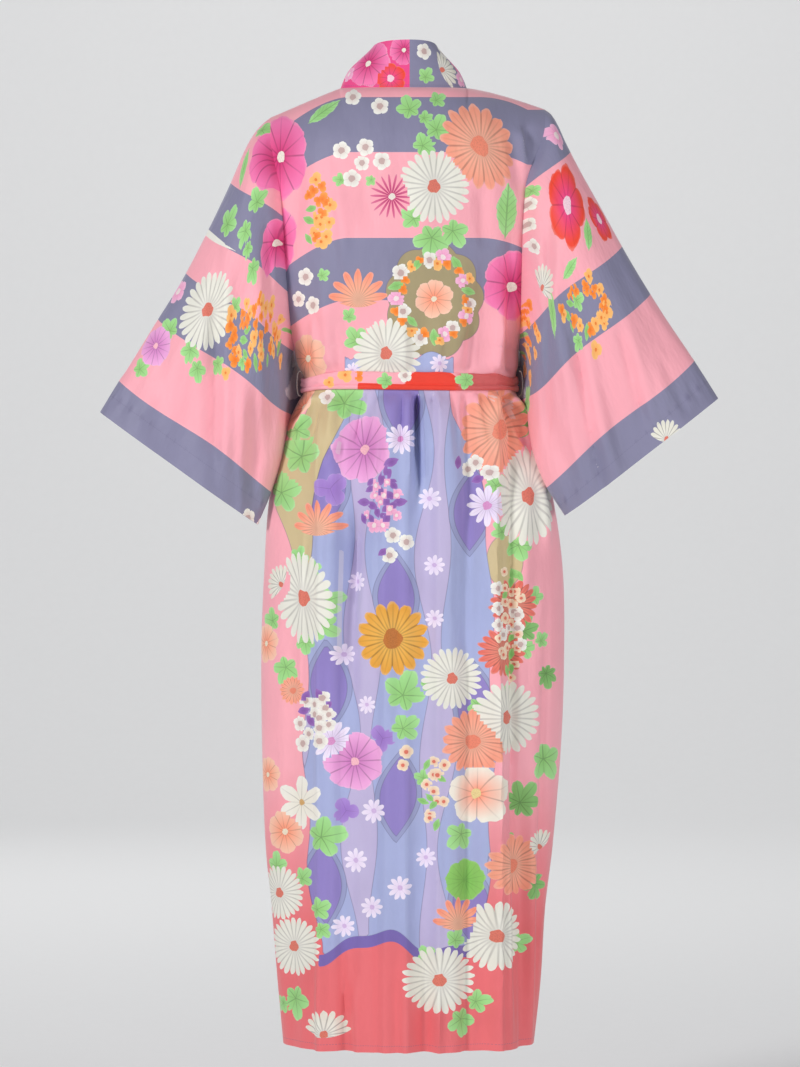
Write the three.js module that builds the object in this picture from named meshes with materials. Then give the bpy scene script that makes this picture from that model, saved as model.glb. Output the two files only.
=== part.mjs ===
// A long kimono robe filled out by nobody: open front crossed over, wide sleeves, neckband, tied belt.
// Millimetres. +Z is up, the back of the robe faces +Y, and +X is the wearer's left.
// The origin is the middle of the neck at shoulder height, where the wearer holds the robe up.
import * as THREE from 'three';

const clothWall = 1.2;
const hemWall = 2.0;
const bandWall = 2.4;
const seamShrink = 0.2;
const bandWidth = 66;
const underInset = 7.5;
const neckDepth = 52;
const shoulderRise = 5;
const armholeBottom = -352;
const armholeSteps = 11;
const neckColumns = 5;
const sideColumns = 14;
const frontColumns = 13;

// Height, left half width, right half width, back depth, front depth, for each level of the body.
const bodyTable = [
  [20, 192, 187, 84, 78],
  [-35, 189, 184, 94, 88],
  [-70, 184, 171, 101, 98],
  [-108, 178, 160, 105, 106],
  [-180, 171, 153, 107, 116],
  [-260, 166, 151, 101, 112],
  [-330, 160, 150, 90, 98],
  [-352, 157, 149, 86, 91],
  [-374, 152, 148, 80, 84],
  [-385, 145, 145, 74, 77],
  [-398, 145, 145, 74, 77],
  [-411, 145, 145, 74, 77],
  [-425, 153, 156, 81, 83],
  [-453, 166, 168, 90, 90],
  [-502, 181, 182, 101, 97],
  [-561, 192, 197, 111, 102],
  [-652, 198, 209, 117, 106],
  [-756, 202, 211, 117, 108],
  [-884, 201, 207, 115, 108],
  [-1027, 196, 195, 111, 106],
  [-1110, 188, 185, 107, 104],
  [-1209, 180, 179, 104, 102],
  [-1310, 171, 168, 100, 99],
];

// Heights of the rows below the armhole, close together round the belt.
const lowerHeights = [
  -365, -376, -385, -398, -411, -421, -434, -452, -476, -506, -544, -590, -640, -694, -752,
  -812, -874, -938, -1002, -1064, -1124, -1180, -1230, -1268, -1296,
];

// Height and distance from the middle of the seam between a front and its neckband.
const frontEdgeTable = [
  [5, 96], [-60, 88], [-120, 80], [-200, 70], [-280, 54], [-340, 30], [-398, 6],
  [-500, -4], [-700, -14], [-1000, -20], [-1300, -24],
];

// Big folds of the body. Side of the cloth, x and z at the top, x and z at the bottom, half width, lift.
const bodyFolds = [
  ['back', -8, -412, -9, -600, 7, -6],
  ['back', 22, -412, 34, -640, 13, 5],
  ['back', 46, -412, 78, -720, 14, -6],
  ['back', 74, -500, 96, -940, 20, -6],
  ['back', 92, -408, 132, -560, 11, 5],
  ['back', 108, -408, 158, -520, 8, -5],
  ['back', -42, -412, -56, -700, 15, 5],
  ['back', -74, -412, -88, -600, 11, -5],
  ['back', -100, -412, -128, -560, 12, 5],
  ['back', -118, -408, -160, -520, 9, -7],
  ['back', -160, -500, -152, -720, 11, 5],
  ['back', -110, -640, -133, -1320, 17, 7],
  ['back', -148, -860, -158, -1320, 13, -9],
  ['back', 102, -1120, 88, -1330, 16, -7],
  ['back', 54, -960, 52, -1330, 24, 5],
  ['back', 150, -640, 162, -1330, 12, -4],
  ['back', -21, -1120, -21, -1330, 13, -6],
  ['back', -64, -820, -72, -1330, 18, -4],
  ['back', 118, -250, 104, -384, 13, 5],
  ['back', 92, -230, 80, -386, 12, -5],
  ['back', 28, -210, 26, -386, 20, 4],
  ['back', 60, -260, 54, -386, 13, -4],
  ['back', -22, -240, -20, -386, 13, -5],
  ['back', -66, -220, -58, -386, 18, 5],
  ['back', -112, -200, -98, -386, 16, -5],
  ['back', -140, -60, -152, -150, 10, -7],
  ['back', -160, -44, -166, -104, 8, -6],
  ['back', 150, -90, 158, -210, 11, -5],
  ['front', -120, -412, -148, -620, 14, 6],
  ['front', -98, -412, -118, -700, 12, -4],
  ['front', -66, -412, -74, -980, 20, 2.5],
  ['front', 112, -412, 146, -600, 14, 5],
  ['front', 84, -412, 100, -760, 14, -6],
  ['front', 60, -420, 66, -900, 20, 2.5],
  ['front', 132, -820, 138, -1320, 16, -6],
  ['front', 96, -900, 100, -1320, 18, 6],
  ['front', -108, -860, -120, -1320, 18, -6],
  ['front', -148, -900, -150, -1320, 13, 5],
  ['front', 112, -220, 104, -386, 14, -5],
  ['front', -118, -210, -102, -386, 14, 5],
  ['front', 84, -230, 78, -386, 13, 5],
  ['front', -88, -240, -80, -386, 12, -5],
];

// Sleeves. Share of the way to the cuff, outer x and z, inner x and z, rear and front depth, middle y.
const sleeveTables = {
  left: [
    [0, 189, -35, 157, -352, 54, 52, 0],
    [0.035, 198, -42, 162, -362, 68, 58, 2],
    [0.09, 210, -55, 166, -376, 78, 63, 5],
    [0.18, 224, -80, 169, -398, 82, 64, 10],
    [0.3, 243, -126, 171, -424, 80, 62, 16],
    [0.45, 273, -190, 175, -456, 74, 58, 22],
    [0.6, 309, -260, 182, -488, 67, 54, 28],
    [0.75, 347, -322, 190, -520, 58, 48, 32],
    [0.88, 385, -384, 197, -556, 50, 43, 35],
    [0.9, 391, -392, 198, -561, 49, 42, 36],
    [1, 419, -438, 207, -590, 46, 40, 37],
  ],
  right: [
    [0, -184, -24, -149, -352, 54, 52, 0],
    [0.035, -193, -31, -154, -362, 68, 58, 3],
    [0.09, -202, -46, -158, -376, 78, 63, 8],
    [0.18, -213, -72, -161, -398, 82, 64, 16],
    [0.3, -230, -108, -164, -422, 80, 60, 26],
    [0.45, -259, -162, -169, -452, 74, 56, 36],
    [0.6, -297, -232, -176, -482, 67, 52, 44],
    [0.75, -338, -300, -184, -510, 58, 46, 50],
    [0.88, -379, -362, -194, -542, 50, 42, 54],
    [0.9, -385, -371, -196, -547, 49, 41, 55],
    [1, -416, -420, -212, -578, 46, 38, 56],
  ],
};
const sleeveShares = [0, 0.035, 0.09, 0.16, 0.25, 0.35, 0.46, 0.58, 0.7, 0.8, 0.88, 0.9, 1];

// Sleeve folds. Turn round the sleeve as a share, shares at the start and end, width as a share, lift.
const sleeveFolds = [
  [0.16, 0.12, 1.2, 0.045, 4],
  [0.24, 0.2, 1.2, 0.04, -5],
  [0.32, 0.06, 1.2, 0.05, 5],
  [0.4, 0.05, 0.9, 0.035, -4],
  [0.62, 0.1, 1.2, 0.05, 4],
  [0.72, 0.15, 1.2, 0.045, -5],
  [0.84, 0.1, 1.2, 0.05, 4],
];

function clamp(value, low, high) {
  return Math.min(high, Math.max(low, value));
}

function smooth(value) {
  const t = clamp(value, 0, 1);
  return t * t * (3 - 2 * t);
}

function mix(a, b, share) {
  return a + (b - a) * share;
}

// Reads a column of a table at a place in its first column, along a smooth curve through the rows.
function readTable(table, place, column) {
  const falling = table[1][0] < table[0][0] ? -1 : 1;
  let next = 1;
  while (next < table.length - 1 && (place - table[next][0]) * falling > 0) {
    next += 1;
  }
  const from = table[next - 1];
  const to = table[next];
  const before = table[Math.max(0, next - 2)];
  const after = table[Math.min(table.length - 1, next + 1)];
  const span = to[0] - from[0];
  const t = clamp((place - from[0]) / span, 0, 1);
  const startSlope = (to[column] - before[column]) / (to[0] - before[0]);
  const endSlope = (after[column] - from[column]) / (after[0] - from[0]);
  const bump = t * (1 - t) * span;
  const straight = mix(from[column], to[column], smooth(t));
  return straight + bump * (startSlope * (1 - t) - endSlope * t);
}

function beltCalm(z) {
  return smooth((Math.abs(z + 398) - 13) / 20);
}

// How far the folds move the cloth outward at a place on the back or the front.
function foldLift(face, x, z) {
  const side = face > 0 ? 'back' : 'front';
  let lift = 0;
  for (const [where, topX, topZ, lowX, lowZ, halfWidth, height] of bodyFolds) {
    if (where !== side) {
      continue;
    }
    const along = (topZ - z) / (topZ - lowZ);
    const middle = mix(topX, lowX, clamp(along, -0.2, 1.2));
    const across = (x - middle) / halfWidth;
    const fadeIn = topZ < -405 && topZ > -425 ? 0.12 : 0.3;
    const ends = smooth(along / fadeIn) * smooth((1 - along) / 0.3);
    const open = lowZ < -1310 ? smooth(along / 0.4) : ends;
    const pinched = lowZ > -390 && lowZ < -380 ? smooth(along / 0.5) : open;
    lift += height * Math.exp(-across * across) * pinched;
  }
  return lift * beltCalm(z);
}

function wearerSide(side) {
  return side > 0 ? 1 : 2;
}

function neckX(side) {
  return side > 0 ? 94 : 78;
}

// Depth of the armhole edge from the middle of the thickness, which closes at the underarm.
function edgeDepth(z) {
  const half = (armholeBottom + 190) * -1;
  const below = clamp((-190 - z) / half, 0, 1);
  return 54 * Math.sqrt(1 - below * below);
}

// A place on the plain section of the body: turn runs from 0 at the middle to 1 at the side.
function sectionSpan(face, side, z) {
  const halfWidth = readTable(bodyTable, z, wearerSide(side));
  const depth = readTable(bodyTable, z, face > 0 ? 3 : 4);
  const reach = Math.acos(Math.pow(clamp(edgeDepth(z) / depth, 0, 1), 1 / 0.88));
  return { halfWidth, depth, reach };
}

function sectionPoint(face, side, z, turn) {
  const { halfWidth, depth, reach } = sectionSpan(face, side, z);
  const x = (side * halfWidth * Math.sin(turn * reach)) / Math.sin(reach);
  const y = face * depth * Math.pow(Math.max(0, Math.cos(turn * reach)), 0.88);
  return new THREE.Vector3(x, y, z);
}

// Height of the shoulder ridge above a distance from the middle.
function ridgeHeight(side, x) {
  const end = side > 0 ? 189 : 184;
  const drop = side > 0 ? 40 : 29;
  const share = clamp((Math.abs(x) - neckX(side)) / (end - neckX(side)), 0, 1);
  return shoulderRise - drop * Math.pow(share, side > 0 ? 1.05 : 1.35);
}

// Top edge of the back: the neck curve in the middle, then the shoulder seam.
function backTop(side, turn) {
  const neckTurn = neckColumns / sideColumns;
  if (turn <= neckTurn) {
    const angle = ((turn / neckTurn) * Math.PI) / 2;
    const x = side * neckX(side) * Math.sin(angle);
    return new THREE.Vector3(x, neckDepth * Math.cos(angle), shoulderRise * (1 - Math.cos(angle)));
  }
  return shoulderPoint(side, (turn - neckTurn) / (1 - neckTurn));
}

function shoulderPoint(side, share) {
  const end = side > 0 ? 189 : 184;
  const x = mix(neckX(side), end, share);
  return new THREE.Vector3(side * x, 0, ridgeHeight(side, x));
}

// Height of a row below a place on the top edge. edgeShare is 1 at the armhole and 0 at the middle.
function rowHeight(top, row, edgeShare) {
  if (row > armholeSteps) {
    return lowerHeights[row - armholeSteps - 1];
  }
  const even = row / armholeSteps;
  const round = (1 - Math.cos(Math.PI * even)) / 2;
  return mix(top, armholeBottom, mix(even, round, edgeShare));
}

// The hem hangs a little lower in the middle than at the sides.
function hemDrop(turn, z) {
  return 9 * (1 - turn * turn) * smooth((-z - 900) / 400);
}

// Rounds the cloth over the shoulder and neck, from the top edge into the section below it.
function roundOver(top, below, drop, turn) {
  const radius = mix(84, 112, smooth(Math.abs(turn)));
  const t = clamp(drop / radius, 0, 1);
  const rolled = Math.sqrt(1 - (1 - t) * (1 - t));
  const slid = smooth(t);
  return new THREE.Vector3(mix(top.x, below.x, slid), mix(top.y, below.y, rolled), below.z);
}

function pushedOut(point, face, halfWidth, depth, lift) {
  const across = point.x / (halfWidth * halfWidth);
  const through = point.y / (depth * depth);
  const size = Math.hypot(across, through) || 1;
  return new THREE.Vector3(
    point.x + (across / size) * lift,
    point.y + (through / size) * lift,
    point.z,
  );
}

function backPoint(side, turn, row) {
  const top = backTop(side, turn);
  const z = rowHeight(top.z, row, Math.pow(turn, 3));
  const below = sectionPoint(1, side, z, turn);
  const rounded = roundOver(top, below, top.z - z, turn);
  const { halfWidth, depth } = sectionSpan(1, side, z);
  const calmEdge = 1 - Math.pow(turn, 8);
  const calmTop = smooth((top.z - z) / 30);
  const lift = foldLift(1, rounded.x, z) * calmEdge * calmTop;
  const moved = pushedOut(rounded, 1, halfWidth, depth, lift);
  moved.z -= hemDrop(turn, z);
  return moved;
}

// Share of the way inward from the side edge to the neckband seam; above 1 lies on the neckband.
function frontPoint(side, share, row, under, extra = 0) {
  const top = shoulderPoint(side, 1 - clamp(share, 0, 1));
  const z = rowHeight(top.z, row, 1 - smooth(share * 1.15));
  const { halfWidth, depth, reach } = sectionSpan(-1, side, z);
  const seamX = readTable(frontEdgeTable, z, 1) - extra;
  const seamTurn = Math.asin(clamp((seamX * Math.sin(reach)) / halfWidth, -1, 1)) / reach;
  const turn = mix(1, seamTurn, share);
  const own = sectionPoint(-1, side, z, Math.abs(turn));
  own.x *= Math.sign(turn) || 1;
  const rounded = roundOver(top, own, Math.max(0, top.z - z), 1 - share);
  const calmEdge = 1 - Math.pow(1 - clamp(share, 0, 1), 6);
  const lift = foldLift(-1, rounded.x, z) * calmEdge;
  const past = smooth((side * -rounded.x + 128) / 34) * smooth((-z - 130) / 70);
  const inset = under ? underInset * past : 0;
  const moved = pushedOut(rounded, -1, halfWidth, depth, lift - inset);
  moved.z -= hemDrop(clamp(1 - share, 0, 1), z);
  return moved;
}

function faceNormal(rows, i, j, closed) {
  const row = rows[i];
  const last = row.length - 1;
  const left = closed ? row[(j + last) % row.length] : row[Math.max(0, j - 1)];
  const right = closed ? row[(j + 1) % row.length] : row[Math.min(last, j + 1)];
  const above = rows[Math.max(0, i - 1)][j];
  const below = rows[Math.min(rows.length - 1, i + 1)][j];
  const across = new THREE.Vector3().subVectors(right, left);
  const down = new THREE.Vector3().subVectors(below, above);
  return across.cross(down).normalize();
}

// Draws the outer edge of a panel in by a hair, which leaves the seam between two panels open.
function shrunk(rows, sides) {
  const copy = rows.map((row) => row.map((point) => point.clone()));
  const pull = (from, to) => {
    from.addScaledVector(new THREE.Vector3().subVectors(to, from).normalize(), seamShrink);
  };
  const lastRow = rows.length - 1;
  const lastColumn = rows[0].length - 1;
  if (sides.top) {
    rows[0].forEach((_, j) => pull(copy[0][j], rows[1][j]));
  }
  if (sides.bottom) {
    rows[0].forEach((_, j) => pull(copy[lastRow][j], rows[lastRow - 1][j]));
  }
  if (sides.first) {
    rows.forEach((_, i) => pull(copy[i][0], rows[i][1]));
  }
  if (sides.last) {
    rows.forEach((_, i) => pull(copy[i][lastColumn], rows[i][lastColumn - 1]));
  }
  return copy;
}

// Turns rows of points on the outer face into a closed wall of cloth.
// outward says which way the face looks, and thickness gives the wall at each point.
function clothGeometry(rows, thickness, outward, options = {}) {
  const { closed = false, normalAt = () => null } = options;
  const columns = rows[0].length;
  const inner = rows.map((row, i) => row.map((point, j) => {
    const fixed = normalAt(i, j);
    const normal = fixed || faceNormal(rows, i, j, closed);
    if (!fixed && normal.dot(outward(point)) < 0) {
      normal.negate();
    }
    return point.clone().addScaledVector(normal, -thickness(i, j));
  }));
  const positions = [];
  [...rows, ...inner].forEach((row) => row.forEach((point) => positions.push(point.x, point.y, point.z)));
  const outerAt = (i, j) => i * columns + (j % columns);
  const innerAt = (i, j) => (rows.length + i) * columns + (j % columns);
  const index = [];
  const quad = (a, b, c, d) => index.push(a, b, c, a, c, d);
  const spans = closed ? columns : columns - 1;
  for (let i = 0; i < rows.length - 1; i += 1) {
    for (let j = 0; j < spans; j += 1) {
      quad(outerAt(i, j), outerAt(i, j + 1), outerAt(i + 1, j + 1), outerAt(i + 1, j));
      quad(innerAt(i, j), innerAt(i + 1, j), innerAt(i + 1, j + 1), innerAt(i, j + 1));
    }
  }
  const lastRow = rows.length - 1;
  for (let j = 0; j < spans; j += 1) {
    quad(outerAt(0, j), innerAt(0, j), innerAt(0, j + 1), outerAt(0, j + 1));
    quad(outerAt(lastRow, j), outerAt(lastRow, j + 1), innerAt(lastRow, j + 1), innerAt(lastRow, j));
  }
  if (!closed) {
    const lastColumn = columns - 1;
    for (let i = 0; i < lastRow; i += 1) {
      quad(outerAt(i, 0), outerAt(i + 1, 0), innerAt(i + 1, 0), innerAt(i, 0));
      quad(outerAt(i, lastColumn), innerAt(i, lastColumn), innerAt(i + 1, lastColumn), outerAt(i + 1, lastColumn));
    }
  }
  return facingOut(positions, index);
}

// Builds the geometry, turned so that its faces look out of the solid.
function facingOut(positions, index) {
  const at = (i) => new THREE.Vector3(positions[3 * i], positions[3 * i + 1], positions[3 * i + 2]);
  let volume = 0;
  for (let i = 0; i < index.length; i += 3) {
    volume += at(index[i]).dot(at(index[i + 1]).cross(at(index[i + 2])));
  }
  const turned = volume < 0 ? index.slice().reverse() : index;
  const geometry = new THREE.BufferGeometry();
  geometry.setAttribute('position', new THREE.Float32BufferAttribute(positions, 3));
  geometry.setIndex(turned);
  geometry.computeVertexNormals();
  return geometry;
}

function fromAxis(point) {
  return new THREE.Vector3(point.x, point.y, 0);
}

// The closed ring of points round an armhole: down the back edge, then up the front edge.
function armholeRing(side) {
  const ring = [];
  for (let row = 0; row <= armholeSteps; row += 1) {
    ring.push(backPoint(side, 1, row));
  }
  for (let row = armholeSteps - 1; row > 0; row -= 1) {
    ring.push(frontPoint(side, 0, row, false));
  }
  return ring;
}

// Way out of the armhole edge, shared by the two pieces that meet there. lean tips it to one side.
function armholeNormal(side, ringIndex, lowerLean) {
  const ring = armholeRing(side);
  const count = ring.length;
  const before = ring[(ringIndex + count - 1) % count];
  const after = ring[(ringIndex + 1) % count];
  const along = new THREE.Vector3().subVectors(after, before);
  const normal = along.cross(new THREE.Vector3(1, 0, 0)).normalize();
  const centre = new THREE.Vector3(0, 0, -190);
  const out = new THREE.Vector3(0, ring[ringIndex].y, ring[ringIndex].z - centre.z);
  if (normal.dot(out) < 0) {
    normal.negate();
  }
  const top = (1 + Math.cos((2 * Math.PI * ringIndex) / count)) / 2;
  normal.x += side * (0.42 * top + lowerLean * (1 - top));
  return normal.normalize();
}

function bodyEdgeNormal(side, row, face) {
  if (row > armholeSteps) {
    return new THREE.Vector3(side, 0, 0);
  }
  const count = 2 * armholeSteps;
  return armholeNormal(side, face > 0 ? row : (count - row) % count, 0.7);
}

function shoulderNormal(side) {
  return new THREE.Vector3(side * 0.387, 0, 0.922);
}

function bodyRowCount() {
  return armholeSteps + lowerHeights.length;
}

function panelWall(row) {
  return row >= bodyRowCount() - 1 ? hemWall : clothWall;
}

function makeBack() {
  const rows = [];
  for (let row = 0; row <= bodyRowCount(); row += 1) {
    const line = [];
    for (let column = -sideColumns; column <= sideColumns; column += 1) {
      const side = column < 0 ? -1 : 1;
      line.push(backPoint(side, Math.abs(column) / sideColumns, row));
    }
    rows.push(line);
  }
  const normalAt = (i, j) => {
    const column = j - sideColumns;
    const side = column < 0 ? -1 : 1;
    if (Math.abs(column) === sideColumns) {
      return bodyEdgeNormal(side, i, 1);
    }
    if (i === 0 && Math.abs(column) >= neckColumns) {
      return shoulderNormal(side);
    }
    return null;
  };
  const cut = shrunk(rows, { top: true, first: true, last: true });
  return clothGeometry(cut, panelWall, fromAxis, { normalAt });
}

function makeFront(side, under) {
  const rows = [];
  for (let row = 0; row <= bodyRowCount(); row += 1) {
    const line = [];
    for (let column = 0; column <= frontColumns; column += 1) {
      line.push(frontPoint(side, column / frontColumns, row, under));
    }
    rows.push(line);
  }
  const normalAt = (i, j) => {
    if (j === 0) {
      return bodyEdgeNormal(side, i, -1);
    }
    return i === 0 ? shoulderNormal(side) : null;
  };
  const cut = shrunk(rows, { top: true, first: true, last: true });
  return clothGeometry(cut, panelWall, fromAxis, { normalAt });
}

function sleeveLift(turn, share) {
  let lift = 0;
  for (const [where, start, end, width, height] of sleeveFolds) {
    const along = (share - start) / (end - start);
    const open = smooth(along / 0.35) * smooth((1 - along) / 0.2);
    const across = (turn - where) / width;
    lift += height * Math.exp(-across * across) * open;
  }
  return lift;
}

// One ring of a sleeve, which starts on the armhole ring and opens to the flat cuff.
function sleeveRing(side, share) {
  const table = side > 0 ? sleeveTables.left : sleeveTables.right;
  const [outerX, outerZ, innerX, innerZ, rear, front, middleY] = [1, 2, 3, 4, 5, 6, 7].map(
    (column) => readTable(table, share, column),
  );
  const count = 2 * armholeSteps;
  const ring = [];
  for (let i = 0; i < count; i += 1) {
    const turn = i / count;
    const angle = 2 * Math.PI * turn;
    const reach = (1 + Math.cos(angle)) / 2;
    const face = Math.sin(angle) > 0 ? rear : front;
    const full = mix(Math.pow(Math.abs(Math.sin(angle)), 0.9), Math.abs(Math.sin(angle)), reach);
    const lift = sleeveLift(turn, share);
    const y = middleY * smooth(share / 0.3) + Math.sign(Math.sin(angle)) * (face * full + lift * full);
    ring.push(new THREE.Vector3(mix(innerX, outerX, reach), y, mix(innerZ, outerZ, reach)));
  }
  return ring;
}

function makeSleeve(side) {
  const seam = armholeRing(side);
  const start = sleeveRing(side, 0);
  const rows = sleeveShares.map((share) => {
    const settle = 1 - smooth(share / 0.3);
    return sleeveRing(side, share).map((point, i) => {
      const off = new THREE.Vector3().subVectors(seam[i], start[i]);
      return point.addScaledVector(off, settle);
    });
  });
  const normalAt = (i, j) => (i === 0 ? armholeNormal(side, j, -0.7) : null);
  const middle = (point) => {
    const share = clamp((Math.abs(point.x) - 180) / 150, 0, 1);
    const centre = new THREE.Vector3(side * mix(175, 310, share), 30 * share, mix(-200, -480, share));
    return new THREE.Vector3().subVectors(point, centre);
  };
  const wallAt = (i) => (sleeveShares[i] > 0.89 ? hemWall : clothWall);
  return clothGeometry(shrunk(rows, { top: true }), wallAt, middle, { closed: true, normalAt });
}

// Points across the neckband, from its seam to its free edge, at one station along it.
function bandLine(side, station, under) {
  const across = [0, 0.34, 0.67, 1];
  if (station < neckColumns) {
    const angle = ((station / neckColumns) * Math.PI) / 2;
    const seam = backTop(side, station / sideColumns);
    return across.map((share) => standingPoint(side, seam, angle, share));
  }
  const row = station - neckColumns;
  const seam = frontPoint(side, 1, row, under);
  const lie = smooth((shoulderRise - seam.z) / 150);
  const angle = Math.PI / 2 + 0.9 * smooth((shoulderRise - seam.z) / 160);
  return across.map((share) => {
    const laid = frontPoint(side, 1, row, under, share * bandWidth);
    const stood = standingPoint(side, seam, angle, share);
    return stood.lerp(laid, share === 0 ? 1 : lie);
  });
}

// The neckband stands up from the neck seam and leans in, more at the sides than behind.
function standingPoint(side, seam, angle, share) {
  const lean = mix(0.12, 0.72, smooth(angle / (Math.PI / 2)));
  const inward = new THREE.Vector3(-side * Math.sin(angle), -Math.cos(angle), 0);
  const rise = bandWidth * share * Math.cos(lean);
  const step = bandWidth * share * Math.sin(lean);
  const bulge = 7 * Math.sin(Math.PI * share) * smooth(angle / 1.2);
  const point = seam.clone().addScaledVector(inward, step - bulge);
  point.z += rise + bulge * 0.5;
  return point;
}

function makeBand(side, under) {
  const rows = [];
  const stations = neckColumns + bodyRowCount();
  for (let station = 0; station <= stations; station += 1) {
    rows.push(bandLine(side, station, under));
  }
  const outward = (point) => {
    if (point.y > 0 || point.z > -40) {
      return new THREE.Vector3(point.x, point.y + 20, 60);
    }
    return fromAxis(point);
  };
  const backSeam = new THREE.Vector3(0, 0.993, 0.12);
  const normalAt = (i) => (i === 0 ? backSeam : null);
  return clothGeometry(shrunk(rows, { top: true, first: true }), () => bandWall, outward, { normalAt });
}

// Outline of the waist at a turn from 0 to 1 round it, with the way out of it.
function waistPoint(turn, offset) {
  const angle = 2 * Math.PI * turn;
  const side = Math.cos(angle) >= 0 ? 1 : -1;
  const face = Math.sin(angle) >= 0 ? 1 : -1;
  const section = sectionPoint(face, side, -398, Math.abs(1 - (2 * Math.abs(angle % Math.PI)) / Math.PI));
  const { halfWidth, depth } = sectionSpan(face, side, -398);
  const across = section.x / (halfWidth * halfWidth);
  const through = section.y / (depth * depth);
  const size = Math.hypot(across, through);
  return new THREE.Vector3(section.x + (across / size) * offset, section.y + (through / size) * offset, 0);
}

// Belt. Turn round the waist, top height, fold line height, bottom height, how far the roll stands out.
const beltTable = [
  [0, -387, -403, -410, 1.6],
  [0.06, -385, -402, -409, 1.8],
  [0.14, -386, -402, -409, 1.6],
  [0.3, -386, -402, -410, 1.7],
  [0.42, -388, -401, -409, 2.2],
  [0.47, -391, -402, -407, 2.6],
  [0.5, -390, -402, -409, 2.0],
  [0.62, -386, -402, -410, 1.5],
  [0.86, -386, -402, -410, 1.5],
  [1, -387, -403, -410, 1.6],
];
const beltClear = 0.75;
const beltSteps = 64;

function makeBelt() {
  const positions = [];
  const index = [];
  for (let step = 0; step < beltSteps; step += 1) {
    const turn = step / beltSteps;
    const [top, fold, low, roll] = [1, 2, 3, 4].map((column) => readTable(beltTable, turn, column));
    const profile = [
      [beltClear, top], [beltClear + 2.0, top], [beltClear + 2.6, (top + fold) / 2],
      [beltClear + 1.8, fold], [beltClear + 2 + roll, (fold + low) / 2],
      [beltClear + 1.6, low], [beltClear, low],
    ];
    profile.forEach(([out, z]) => {
      const point = waistPoint(turn, out);
      positions.push(point.x, point.y, z);
    });
  }
  const around = 7;
  for (let step = 0; step < beltSteps; step += 1) {
    const next = (step + 1) % beltSteps;
    for (let k = 0; k < around; k += 1) {
      const a = step * around + k;
      const b = step * around + ((k + 1) % around);
      const c = next * around + ((k + 1) % around);
      const d = next * around + k;
      index.push(a, b, c, a, c, d);
    }
  }
  return facingOut(positions, index);
}

// The tie at the front: a pinched lump with the belt's folds running over it.
function makeKnot() {
  const rings = 9;
  const around = 14;
  const positions = [];
  const index = [];
  const backY = waistPoint(0.75, beltClear + 3.85).y;
  for (let i = 0; i <= rings; i += 1) {
    const lift = -Math.cos((Math.PI * i) / rings);
    for (let j = 0; j < around; j += 1) {
      const angle = (2 * Math.PI * j) / around;
      const round = Math.sqrt(Math.max(0.3, 1 - lift * lift));
      const crease = 1 - 0.1 * Math.cos(3 * angle + 2 * lift);
      const x = 25 * Math.pow(round, 0.7) * Math.cos(angle) * crease + 6 * lift;
      const deep = 0.5 - 0.5 * Math.sin(angle);
      const y = backY - 17 * deep * Math.pow(round, 0.6) * crease;
      positions.push(x + 6, y, -399 + 21 * lift);
    }
  }
  for (let i = 0; i < rings; i += 1) {
    for (let j = 0; j < around; j += 1) {
      const a = i * around + j;
      const b = i * around + ((j + 1) % around);
      index.push(a, b, b + around, a, b + around, a + around);
    }
  }
  for (let j = 1; j < around - 1; j += 1) {
    const last = rings * around;
    index.push(0, j + 1, j, last, last + j, last + j + 1);
  }
  return facingOut(positions, index);
}

// The furthest forward that the front stands near a place, which a hanging belt end must clear.
function frontReach(x, z) {
  let reach = 0;
  for (const step of [-24, -12, 0, 12, 24]) {
    const at = x + step;
    const side = at < 0 ? -1 : 1;
    const { halfWidth, depth } = sectionSpan(-1, side, z);
    const share = clamp(Math.abs(at) / halfWidth, 0, 1);
    const plain = depth * Math.pow(Math.sqrt(1 - share * share), 0.88);
    reach = Math.max(reach, plain + Math.max(0, foldLift(-1, at, z)));
  }
  return reach;
}

// Belt end: x at the top and bottom, length, and how far it hangs in front of the cloth.
const tailSizes = {
  left: { topX: 20, lowX: 34, top: -420.4, length: 372, clear: 4.5 },
  right: { topX: -14, lowX: -30, top: -420.4, length: 338, clear: 4.5 },
};
const tailWidth = 38;
const tailWall = 2.4;

function makeTail(size) {
  const rows = [];
  const steps = 15;
  for (let i = 0; i <= steps; i += 1) {
    const share = i / steps;
    const z = size.top - size.length * share;
    const width = tailWidth * mix(0.5, 1, smooth(share * 3.5));
    const middle = mix(size.topX, size.lowX, smooth(share)) + 3 * Math.sin(share * 6);
    const reach = Math.max(frontReach(middle, z), frontReach(middle, z + 10), frontReach(middle, z - 10));
    const line = [-0.5, -0.2, 0.2, 0.5].map((across) => {
      const fold = 2.2 * Math.cos(across * 7 + share * 3);
      const y = -(reach + size.clear + tailWall + 1.2 + fold + 1.5);
      return new THREE.Vector3(middle + across * width, y, z - 4 * across * share);
    });
    rows.push(line);
  }
  return clothGeometry(rows, () => tailWall, () => new THREE.Vector3(0, -1, 0));
}

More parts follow.
